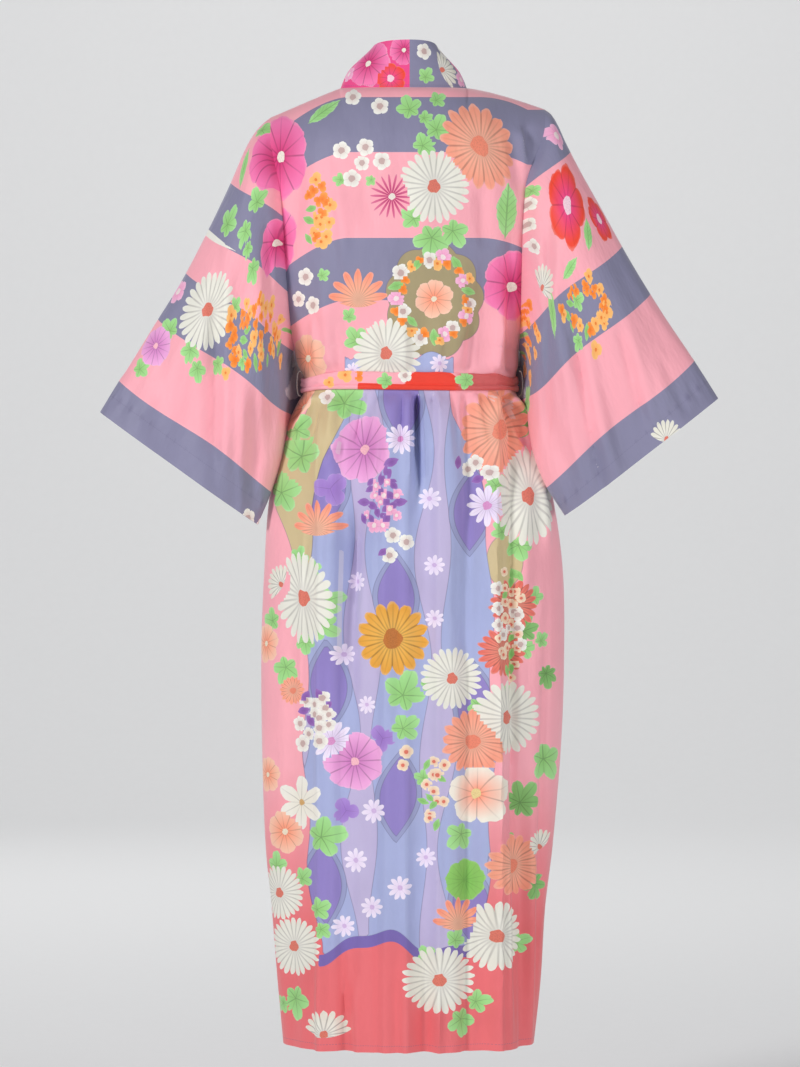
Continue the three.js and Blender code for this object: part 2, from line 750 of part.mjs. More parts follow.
// A thread loop on the side seam, bowed out over the belt.
function makeLoop(side) {
  const positions = [];
  const index = [];
  const steps = 9;
  const around = 6;
  const radius = 0.9;
  const seat = readTable(bodyTable, -415, wearerSide(side)) + radius + 0.3;
  for (let i = 0; i <= steps; i += 1) {
    const angle = (Math.PI * i) / steps;
    const bow = Math.pow(Math.sin(angle), 0.6);
    const z = -398 + 17 * Math.cos(angle);
    const out = seat + 5.2 * bow;
    const spread = new THREE.Vector2(Math.sin(angle), Math.cos(angle));
    for (let k = 0; k < around; k += 1) {
      const turn = (2 * Math.PI * k) / around;
      const away = radius * Math.cos(turn);
      positions.push(side * (out + away * spread.x), 9 + radius * Math.sin(turn), z + away * spread.y);
    }
  }
  for (let i = 0; i < steps; i += 1) {
    for (let k = 0; k < around; k += 1) {
      const a = i * around + k;
      const b = i * around + ((k + 1) % around);
      index.push(a, b, b + around, a, b + around, a + around);
    }
  }
  for (let k = 1; k < around - 1; k += 1) {
    const last = steps * around;
    index.push(0, k + 1, k, last, last + k, last + k + 1);
  }
  return facingOut(positions, index);
}

const pinkCloth = () => new THREE.MeshStandardMaterial({ color: 0xf4aab5, roughness: 0.6 });
const blueCloth = () => new THREE.MeshStandardMaterial({ color: 0x9a98b8, roughness: 0.6 });
const violetCloth = () => new THREE.MeshStandardMaterial({ color: 0xb9b4de, roughness: 0.6 });
const coralCloth = () => new THREE.MeshStandardMaterial({ color: 0xe6787a, roughness: 0.6 });
const threadFinish = () => new THREE.MeshStandardMaterial({ color: 0xe8e2d4, roughness: 0.8 });

function piece(name, geometry, material) {
  const mesh = new THREE.Mesh(geometry, material);
  mesh.name = name;
  return mesh;
}

function makeBody() {
  const body = new THREE.Group();
  body.name = 'body';
  body.add(piece('back', makeBack(), violetCloth()));
  body.add(piece('front_left', makeFront(1, false), violetCloth()));
  body.add(piece('front_right', makeFront(-1, true), violetCloth()));
  body.add(piece('sleeve_left', makeSleeve(1), pinkCloth()));
  body.add(piece('sleeve_right', makeSleeve(-1), pinkCloth()));
  return body;
}

function makeTrim() {
  const trim = new THREE.Group();
  trim.name = 'trim';
  trim.add(piece('collar_left', makeBand(1, false), blueCloth()));
  trim.add(piece('collar_right', makeBand(-1, true), blueCloth()));
  trim.add(piece('belt', makeBelt(), coralCloth()));
  trim.add(piece('belt_knot', makeKnot(), coralCloth()));
  trim.add(piece('belt_tail_left', makeTail(tailSizes.left), coralCloth()));
  trim.add(piece('belt_tail_right', makeTail(tailSizes.right), coralCloth()));
  trim.add(piece('belt_loop_left', makeLoop(1), threadFinish()));
  trim.add(piece('belt_loop_right', makeLoop(-1), threadFinish()));
  return trim;
}

const group = new THREE.Group();
group.name = 'kimono_robe';
group.add(makeBody());
group.add(makeTrim());

export default group;
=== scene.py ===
"""A long printed kimono robe, filled out as worn and seen from behind, on a pale studio floor.

Every place is in the frame of the solids: +Z up, +Y out of the back, +X to the wearer's left.
Sizes are worked in millimetres here and handed to Blender in metres.
"""

import math

import bpy
import numpy as np
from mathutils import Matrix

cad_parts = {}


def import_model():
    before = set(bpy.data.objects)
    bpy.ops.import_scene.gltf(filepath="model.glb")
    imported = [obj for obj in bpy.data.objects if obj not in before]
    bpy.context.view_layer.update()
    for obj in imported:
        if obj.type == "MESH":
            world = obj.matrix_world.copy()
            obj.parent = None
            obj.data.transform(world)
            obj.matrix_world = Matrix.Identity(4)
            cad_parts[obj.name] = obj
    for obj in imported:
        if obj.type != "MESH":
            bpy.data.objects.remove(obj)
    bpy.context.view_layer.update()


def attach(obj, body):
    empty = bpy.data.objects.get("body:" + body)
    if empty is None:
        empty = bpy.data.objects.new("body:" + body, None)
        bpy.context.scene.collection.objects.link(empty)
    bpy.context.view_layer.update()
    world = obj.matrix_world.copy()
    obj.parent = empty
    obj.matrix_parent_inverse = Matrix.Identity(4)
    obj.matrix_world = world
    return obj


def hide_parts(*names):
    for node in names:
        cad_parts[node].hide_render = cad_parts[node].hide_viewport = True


MM = 0.001
PIXEL = 1.364
PICTURE_MIDDLE = 409.5
PICTURE_NECK = 92.0
CAMERA = (12.96, 4851.0, -602.2)
CLOTH_WALL = 1.0
HEM_WALL = 1.9
BAND_WALL = 2.2
BAND_WIDTH = 66.0
UNDER_INSET = 7.5
NECK_DEPTH = 52.0
NECK_TURN = 5.0 / 14.0
SHOULDER_RISE = 5.0
ARMHOLE_BOTTOM = -352.0
HEM_HEIGHT = -1296.0
BELT_LEVEL = -398.0
BELT_EDGE = -392.0
SKIRT_HEM_START = 1.985
CUFF_HEM = 27.0
CUFF_PUCKERS = 28.0
UPPER_STRIPES = [(-7, -82), (-199, -284)]
LEFT, RIGHT, BACK, FRONT = 1, 2, 3, 4
SIDE_WORDS = {1: "left", -1: "right"}

# Height, left half width, right half width, back depth, front depth.
BODY_TABLE = np.array([
    [20, 192, 187, 84, 78], [-35, 189, 184, 94, 88], [-70, 184, 171, 101, 98],
    [-108, 178, 160, 105, 106], [-180, 171, 153, 107, 116], [-260, 166, 151, 101, 112],
    [-330, 160, 150, 90, 98], [-352, 157, 149, 86, 91], [-374, 152, 148, 80, 84],
    [-385, 145, 145, 74, 77], [-398, 145, 145, 74, 77], [-411, 145, 145, 74, 77],
    [-425, 153, 156, 81, 83], [-453, 166, 168, 90, 90], [-502, 181, 182, 101, 97],
    [-561, 192, 197, 111, 102], [-652, 198, 209, 117, 106], [-756, 202, 211, 117, 108],
    [-884, 201, 207, 115, 108], [-1027, 196, 195, 111, 106], [-1110, 188, 185, 107, 104],
    [-1209, 180, 179, 104, 102], [-1310, 171, 168, 100, 99],
], float)

# Height and distance from the middle of the seam between a front and its neckband.
FRONT_EDGE = np.array([
    [5, 96], [-60, 88], [-120, 80], [-200, 70], [-280, 54], [-340, 30], [-398, 6],
    [-500, -4], [-700, -14], [-1000, -20], [-1300, -24],
], float)

# Main folds, as on the solids: x and z at the top, x and z at the bottom, half width, lift.
MAIN_FOLDS = {
    "back": [
        (-8, -412, -9, -600, 7, -6), (22, -412, 34, -640, 13, 5), (46, -412, 78, -720, 14, -6),
        (74, -500, 96, -940, 20, -6), (92, -408, 132, -560, 11, 5), (108, -408, 158, -520, 8, -5),
        (-42, -412, -56, -700, 15, 5), (-74, -412, -88, -600, 11, -5), (-100, -412, -128, -560, 12, 5),
        (-118, -408, -160, -520, 9, -7), (-160, -500, -152, -720, 11, 5),
        (-110, -640, -133, -1320, 17, 7), (-148, -860, -158, -1320, 13, -9),
        (102, -1120, 88, -1330, 16, -7), (54, -960, 52, -1330, 24, 5), (150, -640, 162, -1330, 12, -4),
        (-21, -1120, -21, -1330, 13, -6), (-64, -820, -72, -1330, 18, -4),
        (118, -250, 104, -384, 13, 5), (92, -230, 80, -386, 12, -5), (28, -210, 26, -386, 20, 4),
        (60, -260, 54, -386, 13, -4), (-22, -240, -20, -386, 13, -5), (-66, -220, -58, -386, 18, 5),
        (-112, -200, -98, -386, 16, -5), (-140, -60, -152, -150, 10, -7),
        (-160, -44, -166, -104, 8, -6), (150, -90, 158, -210, 11, -5),
    ],
    "front": [
        (-120, -412, -148, -620, 14, 6), (-98, -412, -118, -700, 12, -4),
        (-66, -412, -74, -980, 20, 2.5), (112, -412, 146, -600, 14, 5), (84, -412, 100, -760, 14, -6),
        (60, -420, 66, -900, 20, 2.5), (132, -820, 138, -1320, 16, -6), (96, -900, 100, -1320, 18, 6),
        (-108, -860, -120, -1320, 18, -6), (-148, -900, -150, -1320, 13, 5),
        (112, -220, 104, -386, 14, -5), (-118, -210, -102, -386, 14, 5), (84, -230, 78, -386, 13, 5),
        (-88, -240, -80, -386, 12, -5),
    ],
}

# Finer creases that only the cloth carries, same columns.
FINE_FOLDS = {
    "back": [
        (-9, -410, -10, -520, 3.2, -4.0), (-2, -410, 0, -560, 4.0, 2.6), (-17, -410, -20, -560, 4.0, 2.6),
        (9, -410, 14, -500, 4.0, -2.2), (36, -410, 50, -540, 4.5, 2.0), (62, -410, 82, -500, 4.5, -2.4),
        (76, -409, 108, -520, 5.0, 2.4), (122, -408, 158, -470, 5.0, 3.2),
        (132, -408, 165, -455, 3.8, -3.0), (-30, -410, -36, -500, 4.0, -2.2),
        (-58, -410, -66, -520, 5.0, -2.0), (-88, -410, -104, -500, 4.5, 2.2),
        (-110, -409, -140, -490, 4.6, 3.0), (-128, -408, -168, -500, 4.6, -3.6),
        (-138, -408, -176, -470, 4.0, 3.0), (-172, -470, -186, -640, 7.0, 3.0),
        (60, -560, 74, -800, 9.0, 2.2), (-122, -900, -140, -1330, 6.0, 2.4),
        (-164, -960, -168, -1330, 6.0, 2.6), (76, -1180, 70, -1330, 7.0, 2.6),
        (118, -1160, 112, -1330, 7.0, 2.4), (-34, -1180, -38, -1330, 8.0, 2.0),
        (20, -1150, 16, -1330, 9.0, -2.0), (139, -560, 150, -900, 5.0, 1.6),
        (76, -540, 84, -840, 11.0, -4.2), (-114, -640, -120, -1330, 3.4, 1.5),
        (-186, -620, -172, -1330, 5.0, -2.4), (104, -560, 112, -800, 10.0, 2.6),
        (-12, -412, -14, -560, 5.0, -1.6), (40, -520, 44, -780, 13.0, 2.6),
        (12, -640, 14, -900, 12.0, -2.0), (-62, -560, -66, -800, 11.0, -2.2),
        (-100, -620, -106, -900, 9.0, 2.0), (132, -300, 122, -384, 6.0, 2.6),
        (104, -310, 94, -386, 5.0, -2.2), (44, -320, 42, -386, 5.5, -1.8), (8, -300, 6, -386, 6.0, 2.0),
        (-40, -310, -38, -386, 5.0, 1.8), (-86, -300, -78, -386, 6.0, -2.2),
        (-126, -290, -116, -386, 6.0, 3.0), (-136, -180, -138, -386, 6.0, -3.2),
        (66, -90, 52, -210, 15.0, -1.8), (96, -120, 84, -260, 10.0, 1.8),
        (-96, -120, -104, -230, 12.0, -2.0), (-148, -52, -158, -118, 4.5, 3.0),
    ],
    "front": [
        (40, -412, 46, -560, 7.0, -2.0), (-38, -412, -44, -560, 7.0, -2.0),
        (128, -410, 160, -520, 6.0, 3.0), (-134, -410, -166, -520, 6.0, -3.0),
        (70, -1000, 68, -1330, 9.0, -2.0), (132, -300, 122, -386, 6.0, 2.0),
        (-132, -300, -122, -386, 6.0, -2.0),
    ],
}

# Share of the way to the cuff, outer x and z, inner x and z, rear and front depth, middle y.
SLEEVE_TABLES = {
    1: np.array([
        [0, 189, -35, 157, -352, 54, 52, 0], [0.035, 198, -42, 162, -362, 68, 58, 2],
        [0.09, 210, -55, 166, -376, 78, 63, 5], [0.18, 224, -80, 169, -398, 82, 64, 10],
        [0.3, 243, -126, 171, -424, 80, 62, 16], [0.45, 273, -190, 175, -456, 74, 58, 22],
        [0.6, 309, -260, 182, -488, 67, 54, 28], [0.75, 347, -322, 190, -520, 58, 48, 32],
        [0.88, 385, -384, 197, -556, 50, 43, 35], [0.9, 391, -392, 198, -561, 49, 42, 36],
        [1, 419, -438, 207, -590, 46, 40, 37],
    ], float),
    -1: np.array([
        [0, -184, -24, -149, -352, 54, 52, 0], [0.035, -193, -31, -154, -362, 68, 58, 3],
        [0.09, -202, -46, -158, -376, 78, 63, 8], [0.18, -213, -72, -161, -398, 82, 64, 16],
        [0.3, -230, -108, -164, -422, 80, 60, 26], [0.45, -259, -162, -169, -452, 74, 56, 36],
        [0.6, -297, -232, -176, -482, 67, 52, 44], [0.75, -338, -300, -184, -510, 58, 46, 50],
        [0.88, -379, -362, -194, -542, 50, 42, 54], [0.9, -385, -371, -196, -547, 49, 41, 55],
        [1, -416, -420, -212, -578, 46, 38, 56],
    ], float),
}

# Turn round the sleeve as a share, shares at the start and end, width as a share, lift.
SLEEVE_FOLDS = [
    (0.16, 0.12, 1.2, 0.045, 4.0), (0.24, 0.20, 1.2, 0.040, -5.0), (0.32, 0.06, 1.2, 0.050, 5.0),
    (0.40, 0.05, 0.9, 0.035, -4.0), (0.62, 0.10, 1.2, 0.050, 4.0), (0.72, 0.15, 1.2, 0.045, -5.0),
    (0.84, 0.10, 1.2, 0.050, 4.0), (0.10, 0.30, 1.3, 0.018, -1.6), (0.20, 0.45, 1.3, 0.016, 1.8),
    (0.28, 0.35, 1.3, 0.014, -1.6), (0.36, 0.30, 1.3, 0.015, 1.8), (0.45, 0.10, 0.8, 0.016, 2.0),
    (0.56, 0.30, 1.2, 0.018, 1.6), (0.78, 0.20, 1.3, 0.016, 1.6),
]

# Folds that hang straight down each sleeve: x and z at the top and at the bottom, half width, lift.
HANGING_FOLDS = {
    1: [(258, -205, 262, -520, 7.0, -5.0), (244, -205, 246, -540, 9.0, 4.0),
        (276, -240, 284, -500, 9.0, 3.0), (206, -370, 212, -580, 8.0, -5.0),
        (222, -390, 228, -580, 7.0, 3.5), (330, -330, 340, -480, 12.0, -3.0),
        (190, -150, 186, -470, 8.0, -5.0)],
    -1: [(-212, -300, -260, -560, 6.5, -6.0), (-226, -300, -276, -540, 8.0, 4.0),
         (-196, -320, -236, -580, 8.0, 4.0), (-276, -310, -312, -450, 6.5, -4.5),
         (-290, -310, -328, -460, 8.0, 3.0), (-186, -150, -184, -470, 7.0, -5.0),
         (-340, -360, -366, -440, 10.0, -3.0)],
}
HANGING_GAIN = 1.5

# Print and thread colours as they look on a screen: red, green and blue in pairs of hexadecimal digits. The
# belt's shaded ink and the cuffs' pucker ink are painted shade.
INKS = {
    "pink": "FAACB8", "blue": "8785A1", "coral": "EA7075", "periwinkle": "A8B0D9",
    "lavender": "BFB4D8", "mist": "999EC6", "violet": "9282C4", "deep_violet": "7A68B0",
    "khaki": "D0BC90", "olive": "A69874", "red": "EE4230", "cream": "ECEAE0",
    "magenta": "F04A8E", "slate": "5C5678", "pucker_shade": "706C8A", "stitch": "706886",
    "shaded": "CE5C5C", "dark_thread": "D4CEC2", "light_thread": "F4F0E8",
}
OUTLINED = {"panel", "pale", "mid", "deep", "khaki", "medallion"}

# Motifs. layer: 0 leaves, 1 flowers, 2 small blossoms. petals, inner: how deep the notches go,
# sharp: how pointed the petals are, core: radius of the middle, gap and rib: line strengths,
# cut: how far below its middle the motif shows, lens: 1 for a pointed oval, lean: fuller to one side.
KIND_COLUMNS = ("layer", "petals", "inner", "sharp", "core", "gap", "rib", "cut", "lens", "lean",
                "main", "tip", "heart")
KIND_ROWS = {
    "none": (0, 2, 0.5, 1.0, 0.0, 0.0, 0.0, 1.0, 0.0, 0.0, "FFFFFF", "FFFFFF", "FFFFFF"),
    "daisy": (1, 25, 0.7, 0.5, 0.17, 0.5, 0.0, 1.1, 0.0, 0.0, "EEECE2", "E8E6DA", "E27A68"),
    "daisy_fan": (1, 19, 0.64, 0.5, 0.15, 0.75, 0.0, 0.12, 0.0, 0.0, "EEECE2", "E6E2D4", "E27A68"),
    "lilac_daisy": (1, 12, 0.45, 0.6, 0.2, 0.5, 0.2, 1.1, 0.0, 0.0, "E8D6F4", "F4E8FA", "DE96CC"),
    "mum": (1, 17, 0.8, 0.7, 0.22, 0.6, 0.35, 1.1, 0.0, 0.0, "FABAA0", "F8A086", "EE8A70"),
    "coral_mum": (1, 19, 0.74, 0.8, 0.2, 0.7, 0.4, 1.1, 0.0, 0.0, "F09680", "E87062", "F4BE96"),
    "gold_mum": (1, 15, 0.76, 0.6, 0.26, 0.7, 0.45, 1.1, 0.0, 0.0, "F0BC5C", "E8A43C", "C47634"),
    "fan": (1, 13, 0.5, 0.8, 0.0, 0.6, 0.35, 0.25, 0.0, 0.0, "FABEA0", "FA967A", "FAA082"),
    "poppy": (1, 6, 0.9, 0.7, 0.13, 0.65, 0.55, 1.1, 0.0, 0.0, "D6347A", "F67AB2", "F4ECDE"),
    "orchid": (1, 7, 0.9, 0.7, 0.15, 0.6, 0.6, 1.1, 0.0, 0.0, "CE7CBE", "F0A8DC", "FABEC8"),
    "peach": (1, 6, 0.84, 0.7, 0.14, 0.5, 0.4, 1.1, 0.0, 0.0, "FA9878", "FAC4AA", "F0E2C8"),
    "pansy": (1, 5, 0.72, 0.5, 0.16, 0.6, 0.4, 1.1, 0.0, 0.0, "FAA084", "F2EADC", "ECD696"),
    "red_poppy": (1, 5, 0.78, 0.6, 0.24, 0.5, 0.5, 1.1, 0.0, 0.0, "EC488C", "F24832", "FAD6E2"),
    "star": (1, 18, 0.12, 1.6, 0.16, 0.0, 0.3, 1.1, 0.0, 0.0, "CE3E7A", "E26E96", "F2E8DE"),
    "lily": (1, 6, 0.42, 0.8, 0.12, 0.3, 0.5, 1.1, 0.0, 0.0, "EEE8DA", "F0ECE2", "D8AA6E"),
    "leaf": (0, 5, 0.6, 0.8, 0.0, 0.3, 0.6, 1.1, 0.0, 0.22, "96CE7C", "A6E092", "82BE64"),
    "dark_leaf": (0, 7, 0.58, 0.8, 0.0, 0.3, 0.6, 1.1, 0.0, 0.24, "7AB060", "8CC474", "6EA05A"),
    "oval": (0, 2, 0.4, 1.2, 0.0, 0.0, 0.5, 1.1, 1.0, 0.0, "98D480", "AAE496", "82BE64"),
    "pad": (0, 9, 0.94, 1.0, 0.0, 0.15, 0.3, 1.1, 0.0, 0.0, "80BE58", "8CC862", "82BE64"),
    "violet_leaf": (0, 3, 0.5, 0.8, 0.0, 0.0, 0.4, 1.1, 0.0, 0.0, "9E78C8", "AC8AD4", "966EBE"),
    "blossom": (2, 5, 0.78, 0.6, 0.36, 0.3, 0.0, 1.1, 0.0, 0.0, "E2D4CC", "F2F0E8", "CCB0AC"),
    "pink_blossom": (2, 5, 0.7, 0.6, 0.3, 0.3, 0.2, 1.1, 0.0, 0.0, "F4A0C8", "F8B8D8", "FAE6E6"),
    "pale_star": (2, 9, 0.4, 0.6, 0.22, 0.2, 0.0, 1.1, 0.0, 0.0, "E8D8F2", "F0E4F6", "D6BAE4"),
    "bud": (2, 3, 0.5, 0.7, 0.0, 0.2, 0.2, 1.1, 0.0, 0.15, "F88028", "FCA04A", "F07828"),
    "light_bud": (2, 3, 0.62, 0.8, 0.2, 0.2, 0.2, 1.1, 0.0, 0.0, "FCB260", "FEC074", "F08232"),
    "sprig": (2, 2, 0.45, 0.8, 0.0, 0.0, 0.3, 1.1, 1.0, 0.0, "8CC670", "9ED886", "82BE64"),
    "violet_bud": (2, 2, 0.55, 0.8, 0.0, 0.0, 0.2, 1.1, 1.0, 0.0, "8C5CAA", "9E70BE", "8C5AAA"),
    "berry": (2, 4, 0.8, 0.6, 0.3, 0.2, 0.0, 1.1, 0.0, 0.0, "F0BEA0", "F4E0C4", "E47864"),
}
KINDS = {name: dict(zip(KIND_COLUMNS, row)) for name, row in KIND_ROWS.items()}
KIND_NAMES = list(KINDS)
LAYERS = 3

# The back's flowers and leaves by kind: place on the picture, radius in picture steps, turn.
BACK_MOTIFS = {
    "daisy": [
        (434, 187, 36, 0.1), (386, 354, 34, 0.2), (303, 598, (46, 32), -1.35), (529, 497, (50, 37), 1.5),
        (452, 678, 30, 0.2), (507, 719, 36, 0.3), (280, 893, (30, 27), 0.1), (294, 946, (34, 29), 0.1),
        (441, 981, (37, 33), 0.1), (497, 938, 34, 0.3)],
    "daisy_fan": [(281, 584, 20, 2.6), (324, 1036, 24, 1.57), (540, 846, 18, 2.2)],
    "lilac_daisy": [(400, 440, 15, 0.1), (486, 505, 20, 0.5), (331, 741, 20, 0.2)],
    "mum": [(481, 147, (46, 36), -1.0), (292, 690, 14, 0.5), (500, 431, (44, 37), 1.4),
            (512, 866, 31, 0.5), (472, 742, 32, 0.1)],
    "coral_mum": [(511, 604, 26, 0.6), (504, 652, 25, 0.2)],
    "gold_mum": [(392, 640, 36, 0.3)],
    "fan": [(359, 300, 30, 1.57), (316, 528, 28, 1.57), (459, 925, 26, 1.57)],
    "poppy": [(512, 286, 34, 0.4), (280, 158, (43, 30), 1.57), (276, 243, (36, 22), 1.4)],
    "orchid": [(363, 450, (34, 28), 1.3), (356, 762, 29, 0.5)],
    "peach": [(308, 358, 24, 0.5), (304, 408, (30, 13), 0.9), (266, 642, 20, 0.3), (285, 833, 22, 0.7),
              (268, 774, 18, 0.2), (434, 298, 19, 0.4)],
    "pansy": [(478, 793, 30, 0.3)],
    "star": [(391, 196, 22, 0.3)],
    "lily": [(302, 803, 27, 0.5)],
    "leaf": [
        (411, 110, 13, 1.9), (436, 130, 14, 1.2), (422, 145, 13, 0.6), (437, 100, 9, 0.6),
        (424, 117, 8, 0.2), (431, 238, 18, 4.6), (452, 231, 15, 5.3), (414, 219, 12, 2.6),
        (341, 179, 7, 3.0), (371, 181, 6, 4.0), (349, 316, 8, 1.0), (356, 340, 13, 2.2),
        (322, 277, 7, 0.5), (345, 404, 21, 0.9), (302, 456, 25, 1.4), (282, 493, 21, 0.3),
        (297, 429, 18, 2.0), (325, 601, 14, 0.4), (322, 626, 14, 5.7), (299, 559, 11, 1.2),
        (314, 567, 8, 0.3), (273, 620, 13, 3.0), (285, 668, 15, 4.4), (306, 640, 11, 4.8),
        (494, 485, 11, 0.8), (502, 531, 11, 2.2), (518, 546, 13, 5.0), (524, 648, 12, 0.2),
        (534, 598, 10, 1.4), (507, 690, 10, 4.4), (540, 640, 9, 0.7), (402, 694, 21, 1.2),
        (428, 684, 9, 0.3), (477, 706, 10, 4.9), (320, 838, 20, 0.2), (277, 866, 13, 1.6),
        (303, 877, 11, 0.8), (317, 908, 12, 0.5), (296, 999, 18, 4.9), (283, 1003, 10, 3.8),
        (320, 931, 9, 5.6), (461, 1019, 15, 4.9), (476, 1000, 12, 0.2), (429, 955, 10, 2.2),
        (454, 941, 11, 1.1), (517, 944, 12, 0.4), (542, 758, 20, 5.4), (461, 834, 15, 3.9),
        (402, 730, 15, 0.6), (424, 777, 8, 2.8)],
    "dark_leaf": [(519, 417, 17, 5.0), (524, 630, 16, 1.2), (547, 673, 13, 4.9), (519, 803, 20, 0.9),
                  (537, 884, 15, 5.2), (509, 843, 9, 1.0)],
    "oval": [(324, 112, (20, 16), 0.64), (506, 212, 28, 1.5)],
    "pad": [(465, 881, 21, 0.2)],
    "violet_leaf": [(329, 490, 14, 0.9), (382, 738, 12, 0.2), (345, 809, 11, 2.0)],
    "blossom": [
        (354, 97, 9, 0.2), (379, 106, 9, 0.5), (342, 150, 9, 0.1), (366, 147, 9, 0.7),
        (361, 164, 8, 0.4), (381, 162, 9, 0.9), (352, 179, 9, 0.2), (306, 277, 9, 0.1),
        (313, 305, 9, 0.6), (299, 300, 8, 0.3), (393, 534, 8, 0.4), (405, 541, 8, 0.9),
        (391, 556, 8, 0.1), (327, 397, 8, 0.3), (467, 469, 8, 0.1), (476, 462, 8, 0.4),
        (488, 472, 8, 0.8), (306, 700, 8, 0.2), (322, 698, 8, 0.6), (314, 714, 8, 0.9),
        (328, 716, 7, 0.1), (303, 743, 9, 0.4)],
    "pink_blossom": [(384, 497, 8, 0.1), (390, 510, 8, 0.8), (374, 524, 8, 0.4)],
    "pale_star": [
        (440, 362, 9, 0.2), (352, 372, 8, 0.8), (358, 580, 10, 0.3), (430, 500, 11, 0.7),
        (345, 655, 11, 0.1), (436, 620, 9, 0.5), (436, 566, 10, 0.8), (366, 706, 9, 0.4),
        (374, 812, 12, 0.5), (400, 888, 12, 0.2), (357, 862, 12, 0.9), (343, 926, 11, 0.4),
        (372, 906, 11, 0.1), (426, 858, 10, 0.6)],
    "bud": [(323, 201, 8, 1.1), (309, 222, 8, 0.8), (315, 235, 8, 2.4)],
    "light_bud": [(316, 181, 8, 1.3), (322, 218, 8, 0.4), (327, 237, 8, 1.0)],
    "violet_bud": [
        (391, 462, 8, 0.4), (377, 484, 6, 1.2), (392, 487, 6, 2.2), (371, 504, 6, 0.9),
        (365, 519, 6, 2.0), (382, 516, 5, 0.1), (382, 551, 6, 0.6), (459, 462, 7, 1.4),
        (478, 480, 7, 0.4), (329, 703, 5, 1.1)],
    "berry": [(407, 752, 7, 0.1), (404, 764, 6, 0.5), (436, 776, 7, 0.3), (432, 790, 6, 0.9),
              (437, 803, 6, 0.2), (430, 818, 6, 0.6), (446, 766, 6, 0.2)],
}

LEFT_SLEEVE_MOTIFS = {
    "poppy": [(280, 158, (43, 30), 1.57), (276, 243, (36, 22), 1.4)],
    "daisy": [(208, 311, (37, 40), -1.2)],
    "oval": [(244, 168, (22, 17), 1.4)],
    "orchid": [(155, 346, 20, 0.4)],
    "leaf": [
        (258, 202, 15, 2.0), (227, 225, 17, 0.8), (245, 230, 15, 4.2), (252, 268, 14, 5.0),
        (249, 249, 10, 4.6), (169, 331, 13, 2.2), (189, 350, 12, 4.4), (140, 369, 11, 0.5),
        (198, 368, 11, 4.7), (218, 363, 10, 5.2), (234, 307, 9, 0.6), (263, 352, 7, 1.0),
        (241, 361, 7, 4.6), (262, 130, 12, 0.4), (283, 108, 13, 0.3)],
    "bud": [(259, 300, 9, 1.1), (271, 316, 8, 2.0), (244, 326, 9, 0.9), (274, 334, 9, 0.2),
            (232, 338, 8, 1.3), (270, 349, 9, 0.6)],
    "light_bud": [(266, 309, 9, 0.3), (253, 338, 9, 0.4), (238, 351, 8, 0.9), (280, 361, 8, 0.1),
                  (224, 373, 7, 0.5), (251, 313, 8, 0.8)],
    "pink_blossom": [(178, 292, 13, 0.4)],
    "blossom": [(245, 521, 9, 0.4), (257, 528, 7, 0.1)],
}

RIGHT_SLEEVE_MOTIFS = {
    "red_poppy": [(566, 205, (46, 30), 1.4), (600, 220, (24, 16), 2.2)],
    "daisy_fan": [(543, 288, (30, 18), 1.0), (668, 442, 18, 1.6)],
    "oval": [(588, 236, (17, 16), 1.6), (571, 268, (19, 13), 0.9), (552, 311, (24, 17), 1.95)],
    "leaf": [(577, 300, 11, 0.6), (578, 341, 9, 4.5), (527, 402, 12, 1.4), (533, 190, 8, 0.4)],
    "light_bud": [(589, 277, 8, 1.4), (601, 291, 8, 1.0), (602, 318, 8, 0.4), (564, 314, 8, 0.5),
                  (597, 349, 9, 0.3), (527, 322, 8, 1.4), (539, 335, 8, 0.2), (524, 372, 6, 0.2)],
    "bud": [(592, 292, 8, 1.2), (603, 306, 9, 1.5), (591, 328, 9, 0.1), (573, 321, 9, 0.6),
            (529, 306, 8, 1.2), (527, 338, 7, 0.4), (524, 356, 6, 1.3)],
    "pink_blossom": [(556, 136, 15, 0.2)],
    "blossom": [(526, 206, 9, 0.2), (526, 226, 9, 0.6), (535, 246, 9, 0.3)],
}

# Clusters: middle and spread on the picture, how many, kinds, radius, how hollow the oval is.
ORANGE = ["bud", "light_bud", "bud", "light_bud", "sprig"]
WREATH = ["bud", "sprig", "light_bud", "blossom", "bud", "pink_blossom"]
BACK_SPRAYS = [
    ((318, 212), (13, 32), 15, ORANGE, 7.5, 0.0),
    ((434, 298), (40, 42), 34, WREATH, 7.5, 0.8),
    ((382, 500), (20, 26), 24, ["violet_bud", "pink_blossom", "violet_bud"], 6.5, 0.0),
    ((510, 622), (13, 58), 34, ["berry", "blossom", "berry", "sprig"], 6.0, 0.0),
    ((432, 790), (12, 34), 12, ["berry", "sprig"], 6.0, 0.0),
    ((314, 716), (17, 24), 12, ["blossom", "violet_bud", "blossom"], 7.5, 0.0),
]
LEFT_SLEEVE_SPRAYS = [((256, 334), (30, 36), 36, ORANGE, 8.0, 0.0)]
RIGHT_SLEEVE_SPRAYS = [
    ((586, 308), (23, 23), 22, ORANGE, 7.5, 0.75),
    ((528, 340), (9, 42), 14, ORANGE, 7.0, 0.0),
]

# For each sleeve: its motifs and clusters, the turn and way of the print on it, the print's two
# directions on the picture, its stripes up from the cuff, and where its shoulder piping starts.
SLEEVE_PRINTS = {
    1: dict(motifs=LEFT_SLEEVE_MOTIFS, sprays=LEFT_SLEEVE_SPRAYS, start=0.621, way=1.0,
            axes=((-0.812, -0.582), (-0.582, 0.812)),
            bounds=[(356, 281), (221, 148), (50, -40)], piping=357.0),
    -1: dict(motifs=RIGHT_SLEEVE_MOTIFS, sprays=RIGHT_SLEEVE_SPRAYS, start=3.841, way=-1.0,
             axes=((0.766, -0.645), (0.645, 0.766)),
             bounds=[(620, 385), (241, 167), (60, -40)], piping=386.0),
}

